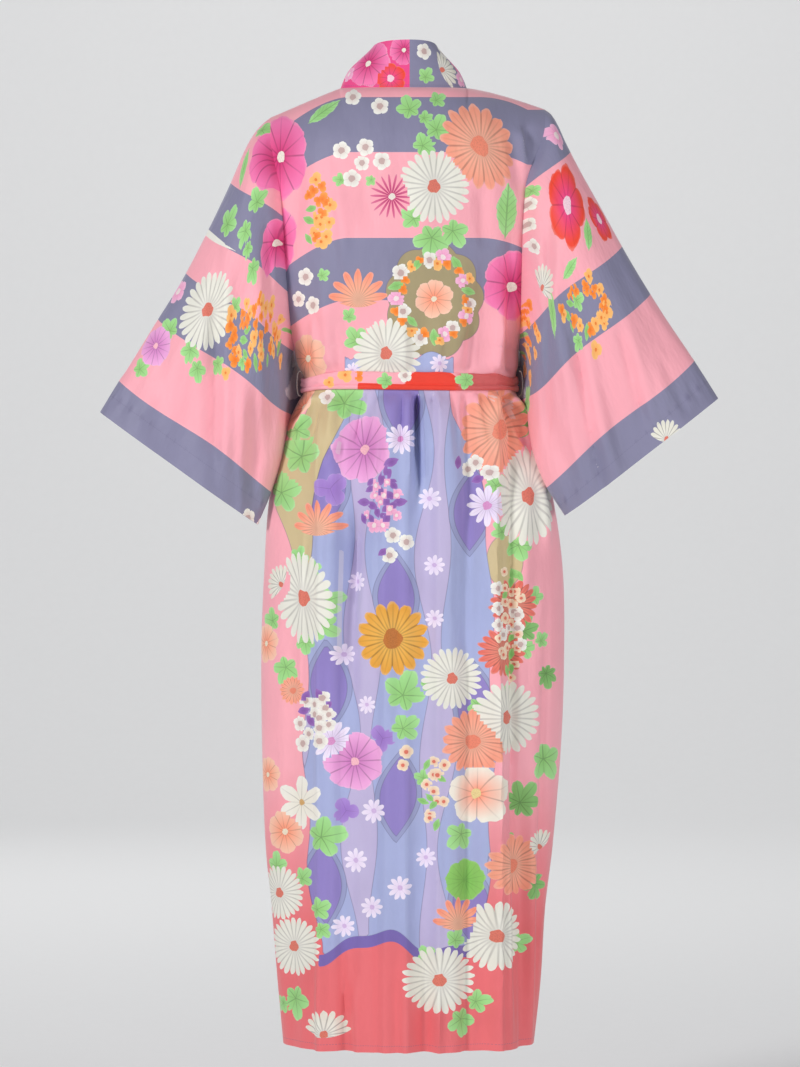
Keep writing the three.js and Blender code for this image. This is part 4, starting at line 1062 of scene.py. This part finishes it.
def cloth_material(name, areas, group, stitches=None):
    """Printed cloth: pink, areas that each show where a field is above nought, and motifs."""
    material = bpy.data.materials.new(name)
    material.use_nodes = True
    material.node_tree.nodes.clear()
    s = Shader(material.node_tree)
    colour = linear(INKS["pink"])
    printed = s.attribute("print", "Vector")
    for key, ink, soft in areas:
        field = s.attribute(key)
        shown = s.span(field, -soft, soft) if soft else s.above(field, 0.0)
        colour = s.mix(shown, colour, linear(INKS[ink]))
        if key in OUTLINED:
            line = s.span(s.absolute(field), 0.3, 0.9, 0.4, 0.0)
            colour = s.mix(line, colour, linear(INKS["slate"]))
    for index in range(LAYERS):
        made = s.add("ShaderNodeGroup", node_tree=group)
        s.put(made.inputs["Place"], s.attribute(f"motif_{index}", "Vector"))
        s.put(made.inputs["Under"], colour)
        colour = made.outputs["Colour"]
    if stitches:
        colour = s.mix(stitch_mask(s, *stitches), colour, linear(INKS["stitch"]))
    wide = s.noise(s.scaled(printed, (0.011, 0.011, 0.011)), 1.0, 3.0)
    worn = s.span(wide, 0.3, 0.7, 0.95, 1.03)
    colour = s.mix(1.0, colour, s.mix(worn, grey(0.0), grey(1.0)), "MULTIPLY")
    reverse = s.mix(0.42, colour, (0.80, 0.74, 0.76, 1.0))
    colour = s.mix(s.attribute("inside"), colour, reverse)
    weave = s.plus(s.noise(s.scaled(printed, (1.6, 0.22, 1.0))), s.noise(s.scaled(printed, (0.22, 1.6, 1.0))))
    crumple = s.noise(s.scaled(printed, (0.045, 0.02, 1.0)), 1.0, 2.6)
    fine = s.bump(weave, 0.16, 0.0006)
    surface = s.add("ShaderNodeBsdfPrincipled")
    s.put(surface.inputs["Base Color"], colour)
    s.put(surface.inputs["Roughness"], s.span(weave, 0.6, 1.4, 0.5, 0.66))
    surface.inputs["Specular IOR Level"].default_value = 0.32
    surface.inputs["Sheen Weight"].default_value = 0.25
    surface.inputs["Sheen Roughness"].default_value = 0.45
    s.put(surface.inputs["Normal"], s.bump(crumple, 0.36, 0.007, fine))
    s.put(s.add("ShaderNodeOutputMaterial").inputs["Surface"], surface.outputs["BSDF"])
    return material


def thread_material():
    """Sewing thread: cream, twisted and matt."""
    material = bpy.data.materials.new("loop_thread")
    material.use_nodes = True
    s = Shader(material.node_tree)
    surface = material.node_tree.nodes["Principled BSDF"]
    place = s.add("ShaderNodeTexCoord").outputs["Object"]
    twist = s.noise(s.scaled(place, (900.0, 900.0, 2400.0)))
    colour = s.mix(twist, linear(INKS["dark_thread"]), linear(INKS["light_thread"]))
    s.put(surface.inputs["Base Color"], colour)
    s.put(surface.inputs["Roughness"], s.span(twist, 0.0, 1.0, 0.55, 0.8))
    s.put(surface.inputs["Normal"], s.bump(twist, 0.4, 0.0004))
    return material


def arc_lengths(points, centre_column):
    """Distance along each row from the centre column, in millimetres."""
    steps = np.linalg.norm(np.diff(points[..., :2], axis=1), axis=2)
    total = np.concatenate([np.zeros((len(points), 1)), np.cumsum(steps, 1)], 1)
    return total - total[:, centre_column:centre_column + 1]


def between(z, *pairs):
    """Straight lines through height and value pairs, heights falling."""
    heights, values = np.array(pairs, float).T
    return np.interp(-z, -heights, values)


def stripe_field(z, bounds):
    """Above nought between each pair of bounds, which are heights from the top down."""
    field = np.full(np.shape(z), -1e3)
    for high, low in bounds:
        field = np.maximum(field, np.minimum(high - z, z - low))
    return field


def back_fields(x, z):
    """Fields of the back's print: stripes above, the panel below, khaki edges and the hem."""
    sag = 34.0 * np.clip((x - 85.0) / 75.0, 0.0, 1.2) ** 1.6
    sag += 12.0 * np.clip((-x - 95.0) / 55.0, 0.0, 1.2) ** 2
    below = BELT_EDGE - z
    reach = between(z, (-395, 70), (-440, 76), (-500, 100), (-570, 120), (-700, 126), (-900, 128),
                    (-1050, 124), (-1160, 108)) + 4.0 * np.sin(z / 30.0)
    left, right = 14.0 + reach, 14.0 - reach
    low = -1158.0 + 14.0 * np.sin(x / 26.0) + 5.0 * np.sin(x / 11.0)
    panel = np.minimum(np.minimum(left - x, x - right), np.minimum(below, z - low))
    crest = -366.0 + 12.0 * np.abs(np.cos((x - 14.0) / 14.0))
    upper = np.minimum(74.0 - np.abs(x - 14.0), np.minimum(crest - z, z + 400.0))
    panel = np.maximum(panel, upper)
    reach_out = between(z, (-395, 46), (-470, 62), (-560, 52), (-640, 22), (-690, -4))
    khaki_left = np.minimum(np.minimum(x - left, left + reach_out - x), below)
    khaki_right = 25.0 - np.hypot(x + 130.0, (z + 640.0) * 0.7)
    angle = np.arctan2(z + 284.0, x + 34.0)
    scallops = 7.0 * np.abs(np.sin(angle * 4.5 + 0.4))
    medallion = 62.0 + scallops - np.hypot((x + 34.0) * 1.02, (z + 284.0) * 0.86)
    border = np.minimum(low - z, z - low + 16.0)
    border = np.minimum(border, np.minimum(left + 6.0 - x, x - right + 6.0))
    steam = {key: np.minimum(field, panel) for key, field in steam_fields(x, z).items()}
    return {"stripes": stripe_field(z + sag, UPPER_STRIPES), "panel": panel, "border": border,
            "khaki": np.maximum(khaki_left, khaki_right), "medallion": medallion,
            "hem": -1030.0 - z, **steam}


def steam_fields(x, z):
    """Rising steam, a traditional pattern: columns that swell and narrow by turns, in three tints."""
    pale, mid, deep = (np.full(np.shape(x), -1e3) for _ in range(3))
    for column in range(-3, 4):
        near = np.abs(x - 14.0 - 50.0 * column - 5.0 * np.sin(z / 60.0))
        swell = np.cos(2 * math.pi * (z + 690.0 + 60.0 * column) / 270.0)
        if column % 2:
            pale = np.maximum(pale, 16.0 + 9.0 * swell - near)
        else:
            mid = np.maximum(mid, 34.0 * swell - 2.0 - near)
            deep = np.maximum(deep, 34.0 * swell - 9.0 - near)
    below = BELT_EDGE - z
    return {"pale": np.minimum(pale, below), "mid": np.minimum(mid, below), "deep": np.minimum(deep, below)}


def panel_rows():
    """Rows down a body panel: closer above the armhole's foot, then even to the hem."""
    return np.concatenate([np.linspace(0, 1, 84)[:-1], np.linspace(1, 2, 214)])


def hung_panel(name, points, printed, rows):
    """A body panel with its turned hem and the fields that its hem stitches follow."""
    cloth = Cloth(name, points, printed, np.where(rows > SKIRT_HEM_START, HEM_WALL, CLOTH_WALL))
    cloth.fields["hem_edge"] = points[..., 2] - HEM_HEIGHT
    cloth.fields["hem_along"] = printed[..., 0]
    return cloth


def make_back(group):
    turn = np.concatenate([-np.linspace(1, 0, 71)[:-1], np.linspace(0, 1, 71)])
    turns, rows = np.meshgrid(turn, panel_rows())
    points = back_points(turns, rows)
    unfolded = back_points(turns, rows, 0.0)
    printed = np.stack([mix(arc_lengths(unfolded, 70), unfolded[..., 0], 0.35), points[..., 2]], -1)
    cloth = hung_panel("robe_back", points, printed, rows)
    cloth.fields.update(back_fields(*in_picture(points)))
    find = rear_finder(points, printed, np.ones(points.shape[:2], bool))
    cloth.lay_motifs(picture_motifs(BACK_MOTIFS, BACK_SPRAYS, math.pi, -1.0), find)
    areas = [("stripes", "blue", 0), ("hem", "coral", 110.0), ("khaki", "khaki", 0),
             ("medallion", "olive", 0), ("panel", "periwinkle", 0), ("pale", "lavender", 0),
             ("mid", "mist", 0), ("deep", "violet", 0), ("border", "deep_violet", 0)]
    return cloth.build(cloth_material("back_print", areas, group, ("hem_edge", "hem_along", 9.0)))


def make_front(side, under, group):
    shares, rows = np.meshgrid(np.linspace(0, 1, 58), panel_rows())
    points = front_points(side, shares, rows, under)
    printed = np.stack([arc_lengths(points, 0) * side, points[..., 2]], -1)
    name = "robe_front_" + SIDE_WORDS[side]
    cloth = hung_panel(name, points, printed, rows)
    z = points[..., 2]
    away = printed[..., 0] * side
    cloth.fields["stripes"] = stripe_field(z, UPPER_STRIPES)
    cloth.fields["hem"] = -1130.0 + 14.0 * np.sin(away / 34.0) - z
    khaki = np.minimum(46.0 - np.abs(away - 70.0 - (z + 500.0) * 0.05), BELT_EDGE - z)
    cloth.fields["khaki"] = np.minimum(khaki, z + 700.0)
    wave = np.minimum(28.0 - np.abs(away - 120.0 - 26.0 * np.sin(z / 90.0)), -430.0 - z)
    cloth.fields["panel"] = np.minimum(wave + 24.0, z + 1120.0)
    cloth.fields["pale"] = np.minimum(wave - 8.0, z + 1120.0)
    kinds = [("daisy", 42), ("mum", 44), ("poppy", 38), ("orchid", 36), ("peach", 28), ("leaf", 24),
             ("oval", 24), ("blossom", 12), ("bud", 11), ("light_bud", 11), ("leaf", 18), ("daisy", 36)]
    motifs = scattered(21 + side, (0.0, -1290.0), (250.0, -20.0), 120, kinds)
    cloth.lay_motifs([(kind, (place[0] * side, place[1]), size, spin) for kind, place, size, spin in motifs])
    areas = [("stripes", "blue", 0), ("hem", "coral", 16.0), ("khaki", "khaki", 0),
             ("panel", "periwinkle", 0), ("pale", "lavender", 0)]
    return cloth.build(cloth_material(name + "_print", areas, group, ("hem_edge", "hem_along", 9.0)))


def cuff_distance(side, x, z):
    """Distance up the sleeve from the cuff edge, square to it."""
    if side > 0:
        return (x - 419.0) * -0.582 + (z + 438.0) * 0.812
    return (x + 416.0) * 0.645 + (z + 420.0) * 0.766


def make_sleeve(side, group):
    look = SLEEVE_PRINTS[side]
    share = np.concatenate([np.linspace(0, 0.12, 20)[:-1], np.linspace(0.12, 1, 88)])
    turns, shares = np.meshgrid(np.arange(132) / 132.0, share)
    points = sleeve_points(side, turns, shares)
    steps = np.linalg.norm(np.roll(points, -1, 1) - points, axis=2)
    girth = steps.sum(1, keepdims=True) * np.ones_like(turns)
    around = np.concatenate([np.zeros((len(points), 1)), np.cumsum(steps, 1)[:, :-1]], 1)
    up = cuff_distance(side, points[..., 0], points[..., 2])
    away = np.maximum(up, 0.0)
    swing = np.sin(2 * math.pi * turns)

    # Puckers along the stitches of the cuff's hem.
    wrinkle = np.sin(around / 2.6 + 2.0 * np.sin(around / 17.0)) * (0.6 + 0.4 * np.sin(around / 41.0))
    puckers = 1.4 * wrinkle * np.exp(-((away - CUFF_PUCKERS) / 10.0) ** 2)
    points = points + np.stack([np.zeros_like(up), np.sign(swing) * puckers, np.zeros_like(up)], -1)
    centre = np.clip((np.abs(points[..., 0]) - 180.0) / 150.0, 0.0, 1.0)

    def outward(p):
        return p - np.stack([side * mix(175, 310, centre), 30 * centre, mix(-200, -480, centre)], -1)

    name = "robe_sleeve_" + SIDE_WORDS[side]
    printed = np.stack([around, up], -1)
    wall = np.where(away < CUFF_HEM, HEM_WALL, CLOTH_WALL)
    cloth = Cloth(name, points, printed, wall, outward, girth)
    tilt = 3.0 * np.sin(around / 40.0)
    cloth.fields["stripes"] = stripe_field(up + tilt, look["bounds"])
    cloth.fields["piping"] = np.minimum(9.0 - np.minimum(around, girth - around), up - look["piping"])
    cloth.fields["hem_edge"] = away
    cloth.fields["hem_along"] = around
    # Painted shade: short darker strokes across the stitch line where the cuff's hem puckers.
    cloth.fields["pucker_shade"] = 5.0 * wrinkle - 0.5 * np.abs(away - CUFF_PUCKERS) - 3.0
    edging = 4.4 * smooth((points[..., 0] - 226.0) / 44.0) - np.abs(up + tilt - 283.0)
    cloth.fields["edging"] = np.where((swing > 0.0) & (side > 0), edging, -9.0)
    find = rear_finder(points, printed, swing > 0.0, look["axes"])
    cloth.lay_motifs(picture_motifs(look["motifs"], look["sprays"], look["start"], look["way"]), find)
    half = float(girth[:, 0].mean()) / 2
    kinds = [("daisy", 38), ("poppy", 34), ("leaf", 20), ("oval", 22), ("bud", 11), ("light_bud", 11),
             ("blossom", 12)]
    cloth.lay_motifs(scattered(5 + side, (half + 20.0, 40.0), (2 * half - 40.0, 330.0), 22, kinds))
    areas = [("stripes", "blue", 0), ("piping", "pink", 0), ("pucker_shade", "pucker_shade", 3.0),
             ("edging", "cream", 0)]
    return cloth.build(cloth_material(name + "_print", areas, group, ("hem_edge", "hem_along", CUFF_HEM)))


def make_band(side, under, group):
    along = np.concatenate([np.linspace(0, 1, 30)[:-1], np.linspace(1, 2, 90)[:-1], np.linspace(2, 3, 214)])
    acrosses, alongs = np.meshgrid(np.linspace(0, 1, 15), along)
    points = band_points(side, under, alongs, acrosses)
    steps = np.linalg.norm(np.diff(points[:, 0], axis=0), axis=1)
    run = np.concatenate([[0.0], np.cumsum(steps)])[:, None] * np.ones_like(acrosses)

    def outward(p):
        raised = (p[..., 1] > 0) | (p[..., 2] > -40)
        standing = np.stack([p[..., 0], p[..., 1] + 20.0, np.full(p.shape[:2], 60.0)], -1)
        return np.where(raised[..., None], standing, p * (1.0, 1.0, 0.0))

    name = "robe_collar_" + SIDE_WORDS[side]
    printed = np.stack([acrosses * BAND_WIDTH, run], -1)
    cloth = Cloth(name, points, printed, np.full(acrosses.shape, BAND_WALL), outward)
    cloth.fields["neck"] = 118.0 - run
    cloth.fields["blue"] = stripe_field(-run, [(-200, -290), (-380, -450)])
    cloth.fields["hem"] = run - 1290.0
    cloth.fields["band_edge"] = acrosses * BAND_WIDTH
    cloth.fields["band_along"] = run
    cloth.lay_motifs(COLLAR_MOTIFS[side])
    kinds = [("daisy", 26), ("poppy", 26), ("leaf", 15), ("blossom", 10), ("bud", 9), ("light_bud", 9)]
    cloth.lay_motifs(scattered(41 + side, (6, 190), (60, 1500), 60, kinds))
    areas = [("neck", "magenta" if side > 0 else "blue", 0), ("blue", "blue", 0), ("hem", "coral", 90.0)]
    return cloth.build(cloth_material(name + "_print", areas, group, ("band_edge", "band_along", 3.0)))


def waist_points(turn, offset, z):
    """Places round the waist, moved out from the cloth by an offset."""
    angle = 2 * math.pi * turn
    left = np.cos(angle) >= 0
    size = np.abs(1.0 - 2.0 * np.abs(np.mod(angle, math.pi)) / math.pi)
    level = np.full(np.shape(turn), BELT_LEVEL)
    behind = section(1, left, level, size)[:4]
    ahead = section(-1, left, level, size)[:4]
    x, y, half_width, depth = (np.where(np.sin(angle) >= 0, a, b) for a, b in zip(behind, ahead))
    x, y = pushed_out(x, y, half_width, depth, offset)
    return np.stack([x, y, z], -1)


def belt_profile(turn):
    """The belt's section at each turn: how far out and how high, from its top edge round and back."""
    top, fold, low, roll = (read_table(BELT_TABLE, turn, column) for column in range(1, 5))
    wave = 0.5 * np.sin(turn * 74.0) + 0.4 * np.sin(turn * 171.0 + 1.0)
    slanted = 0.7 * np.sin(turn * 74.0 - 1.4) + 0.5 * np.sin(turn * 119.0)
    top = top + 0.7 * np.sin(turn * 50.0) + 0.4 * np.sin(turn * 132.0)
    clear = 0.85
    return [
        (clear, top), (clear + 1.7, top - 0.2), (clear + 2.4 + wave, mix(top, fold, 0.14)),
        (clear + 2.5 + slanted, mix(top, fold, 0.3)), (clear + 2.7 - wave, mix(top, fold, 0.48)),
        (clear + 2.6 - slanted, mix(top, fold, 0.66)), (clear + 2.1, mix(top, fold, 0.84)),
        (clear + 1.5, fold + 0.8), (clear + 1.2, fold - 0.4), (clear + 1.5 + roll * 0.8, fold - 1.4),
        (clear + 2.0 + roll, mix(fold, low, 0.5)), (clear + 1.6 + roll * 0.5, low + 0.8),
        (clear + 1.0, low), (clear, low + 0.4),
    ]


def make_belt(group):
    turn = np.arange(300) / 300.0
    rings = [waist_points(turn, out, z) for out, z in belt_profile(turn)]
    flat = np.concatenate(rings)
    faces = grid_faces(len(rings), len(turn), True, True)
    if signed_volume(flat, faces) < 0:
        faces = faces[:, ::-1]
    areas = [("red", "red", 0), ("shaded", "shaded", 6.0)]
    piece = mesh_piece("robe_belt", flat, faces.tolist(), cloth_material("belt_print_and_shade", areas, group), 70)
    x, z = flat[:, 0], flat[:, 2]
    rear = flat[:, 1] > 0
    flower = 36.0 - np.hypot(x + 30.0, (z + 400.0) * 1.9)
    roll = np.minimum(np.minimum(70.0 - x, x + 104.0), -400.0 + 0.035 * (x - 60.0) - z)
    write_field(piece.data, "red", np.where(rear, np.maximum(flower, roll), -9.0))
    # Painted shade: the back of the belt turns darker toward the wearer's right, from x = -66 on.
    write_field(piece.data, "shaded", np.where(rear, -66.0 - x, -9.0))
    around = np.tile(np.arange(len(turn)) * 2.9, len(rings))
    write_vectors(piece.data, "print", np.stack([around, z, np.zeros_like(z)], -1)[faces])
    layers = empty_layers(faces)
    middle_x, middle_z = x[faces].mean(1), z[faces].mean(1)
    for kind, px, py, radius in BELT_MOTIFS:
        centre_x, centre_z = seen(px, py)
        size = radius * PIXEL
        near = rear[faces].all(1) & (np.hypot(middle_x - centre_x, middle_z - centre_z) < size + 4.0)
        layer = layers[KINDS[kind]["layer"]]
        layer[near, :, 0] = (x[faces[near]] - centre_x) / size
        layer[near, :, 1] = (z[faces[near]] - centre_z) / size
        layer[near, :, 2] = KIND_NAMES.index(kind)
    for index, layer in enumerate(layers):
        write_vectors(piece.data, f"motif_{index}", layer)
    return piece


def make_knot(material):
    """The tie: a pinched lump with the belt's folds running over it."""
    rings, around = 26, 48
    lift, angle = np.meshgrid(-np.cos(np.linspace(0, math.pi, rings)),
                              np.arange(around) * 2 * math.pi / around, indexing="ij")
    round_share = np.sqrt(np.maximum(0.3, 1.0 - lift ** 2))
    crease = 1.0 - 0.1 * np.cos(3 * angle + 2 * lift)
    ply = 0.6 * np.sin(lift * 16.0 + 3.0 * np.cos(angle))
    back_y = -77.0 - 0.75 - 3.95
    deep = 0.5 - 0.5 * np.sin(angle)
    x = 24.0 * round_share ** 0.7 * np.cos(angle) * crease + 6.0 * lift + 6.0
    y = back_y - (16.0 * deep * round_share ** 0.6) * crease - ply * deep
    points = np.stack([x, y, -399.0 + 20.8 * lift], -1).reshape(-1, 3)
    # It shares the belt's material but has no shaded field, so the belt's painted shade shows at half
    # strength all over it.
    return mesh_piece("robe_belt_knot", points, tube_faces(rings, around), material)


def front_reach(x, z):
    """How far the front stands out within a belt end's width."""
    reach = 0.0
    for step in (-24.0, -12.0, 0.0, 12.0, 24.0):
        at = x + step
        half_width = float(read_table(BODY_TABLE, z, LEFT if at >= 0 else RIGHT))
        depth = float(read_table(BODY_TABLE, z, FRONT))
        share = min(1.0, abs(at) / half_width)
        plain = depth * math.sqrt(1.0 - share ** 2) ** 0.88
        lift = float(fold_lift("front", np.array([at]), np.array([z]), False)[0])
        reach = max(reach, plain + max(0.0, lift))
    return reach


def make_tail(name, top_x, low_x, length, material):
    """A belt end hanging down the front: two layers, creased along, its end square."""
    steps, across_steps, clear = 90, 17, 9.6
    rows = []
    for i in range(steps + 1):
        share = i / steps
        z = -420.6 - length * share
        width = 38.0 * mix(0.5, 1.0, smooth(share * 3.5))
        middle = mix(top_x, low_x, smooth(share)) + 3.0 * math.sin(share * 6.0)
        reach = max(front_reach(middle, z + step) for step in (0.0, 10.0, -10.0))
        across = np.linspace(-0.5, 0.5, across_steps)
        fold = 2.2 * np.cos(across * 7.0 + share * 3.0) + 0.5 * np.sin(across * 26.0 + share * 9.0)
        out = reach + clear + fold
        rows.append(np.stack([middle + across * width, -out, z - 4.0 * across * share], -1))
    points = np.array(rows)
    run = np.broadcast_to(np.linspace(0, length, steps + 1)[:, None], points.shape[:2])
    printed = np.stack([points[..., 0], run], -1)
    cloth = Cloth(name, points, printed, np.full(run.shape, BAND_WALL),
                  lambda p: np.broadcast_to(np.array([0.0, -1.0, 0.0]), p.shape))
    cloth.fields["red"] = stripe_field(-run + 8.0 * np.sin(points[..., 0] / 9.0), [(-52, -106), (-262, -304)])
    cloth.fields["shaded"] = np.full(run.shape, -9.0)
    kinds = [("leaf", 14), ("bud", 9), ("light_bud", 9), ("blossom", 10), ("daisy", 18)]
    centre = float(points[..., 0].mean())
    cloth.lay_motifs(scattered(61 + int(top_x), (centre - 18, 10), (centre + 18, length - 10), 14, kinds))
    return cloth.build(material)


def make_loop(side, material):
    """A chain of sewing thread bowed out over the belt at the side seam."""
    steps, around, radius = 26, 8, 0.75
    seat = float(read_table(BODY_TABLE, -415.0, LEFT if side > 0 else RIGHT)) + 1.2
    points = []
    for i in range(steps + 1):
        angle = math.pi * i / steps
        bow = math.sin(angle) ** 0.6 if 0 < i < steps else 0.0
        out = seat + 5.2 * bow
        bead = radius * (1.0 + 0.18 * math.cos(i * math.pi))
        for k in range(around):
            turn = 2 * math.pi * k / around
            away = bead * math.cos(turn)
            points.append((side * (out + away * math.sin(angle)), 9.0 + bead * math.sin(turn),
                           BELT_LEVEL + 17.0 * math.cos(angle) + away * math.cos(angle)))
    return mesh_piece("robe_loop_" + SIDE_WORDS[side], points, tube_faces(steps + 1, around), material)


def make_camera():
    data = bpy.data.cameras.new("view")
    data.type = "PERSP"
    data.lens = 120.0
    data.sensor_width = 36.0
    camera = bpy.data.objects.new("view", data)
    camera.location = [part * MM for part in CAMERA]
    camera.rotation_euler = (math.radians(90), 0.0, math.radians(180))
    bpy.context.scene.collection.objects.link(camera)
    bpy.context.scene.camera = camera


def paper_material():
    """Pale matt studio paper with a little light of its own."""
    material = bpy.data.materials.new("studio_paper")
    material.use_nodes = True
    s = Shader(material.node_tree)
    surface = material.node_tree.nodes["Principled BSDF"]
    grain = s.noise(s.add("ShaderNodeTexCoord").outputs["Object"], 40.0)
    s.put(surface.inputs["Base Color"], s.mix(grain, grey(0.66), grey(0.68)))
    surface.inputs["Roughness"].default_value = 0.9
    surface.inputs["Emission Color"].default_value = grey(1.0)
    surface.inputs["Emission Strength"].default_value = 0.2
    return material


def make_stage():
    """A pale floor that curves up into a wall behind the robe."""
    floor, wall, bend, bend_steps = -1.45, -7.5, 2.0, 16
    near, high, half_width = 9.0, 6.5, 9.0
    profile = [(near, floor), (2.0, floor), (wall + bend, floor)]
    for step in range(1, bend_steps + 1):
        angle = math.pi / 2 * step / bend_steps
        profile.append((wall + bend - bend * math.sin(angle), floor + bend - bend * math.cos(angle)))
    profile.append((wall, high))
    points = [(x / MM, y / MM, z / MM) for y, z in profile for x in (-half_width, half_width)]
    faces = [(2 * k, 2 * k + 1, 2 * k + 3, 2 * k + 2) for k in range(len(profile) - 1)]
    mesh_piece("studio", points, faces, paper_material())


def area_light(name, place, target, size, power):
    data = bpy.data.lights.new(name, "AREA")
    data.shape = "DISK"
    data.size = size
    data.energy = power
    light = bpy.data.objects.new(name, data)
    light.location = place
    aim = np.array(target) - np.array(place)
    flat = math.hypot(aim[0], aim[1])
    light.rotation_euler = (math.atan2(flat, -aim[2]), 0.0, math.atan2(-aim[0], aim[1]))
    bpy.context.scene.collection.objects.link(light)


def make_light():
    area_light("key", (3.3, 3.4, 1.1), (0.0, 0.0, -0.65), 1.1, 140.0)
    area_light("fill", (-3.3, 3.3, -0.4), (0.0, 0.0, -0.75), 1.8, 74.0)
    area_light("front", (1.6, -4.2, 1.2), (0.0, 0.0, -0.65), 2.4, 16.0)
    area_light("wall", (0.0, -3.0, 3.4), (0.0, -7.5, -0.6), 4.0, 96.0)
    world = bpy.data.worlds.new("studio_light")
    world.use_nodes = True
    world.node_tree.nodes["Background"].inputs["Color"].default_value = (0.93, 0.95, 1.0, 1.0)
    world.node_tree.nodes["Background"].inputs["Strength"].default_value = 0.24
    bpy.context.scene.world = world
    bpy.context.scene.view_settings.view_transform = "Standard"
    bpy.context.scene.view_settings.look = "None"


def settle(piece, node):
    """Says what a piece rides on and hides the solid that it dresses."""
    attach(piece, "root")
    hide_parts(node)


def dress(group):
    """Makes every piece of the robe."""
    settle(make_back(group), "back")
    for side, word in SIDE_WORDS.items():
        front = make_front(side, side < 0, group)
        settle(front, "front_" + word)
    for side, word in SIDE_WORDS.items():
        sleeve = make_sleeve(side, group)
        settle(sleeve, "sleeve_" + word)
    for side, word in SIDE_WORDS.items():
        band = make_band(side, side < 0, group)
        settle(band, "collar_" + word)
    belt = make_belt(group)
    belt_cloth = belt.data.materials[0]
    settle(belt, "belt")
    settle(make_knot(belt_cloth), "belt_knot")
    for word, top_x, low_x, length in (("left", 20.0, 34.0, 372.0), ("right", -14.0, -30.0, 338.0)):
        tail = make_tail("robe_tail_" + word, top_x, low_x, length, belt_cloth)
        settle(tail, "belt_tail_" + word)
    thread = thread_material()
    for side, word in SIDE_WORDS.items():
        settle(make_loop(side, thread), "belt_loop_" + word)


def main():
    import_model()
    make_camera()
    make_light()
    make_stage()
    dress(motif_group())


main()
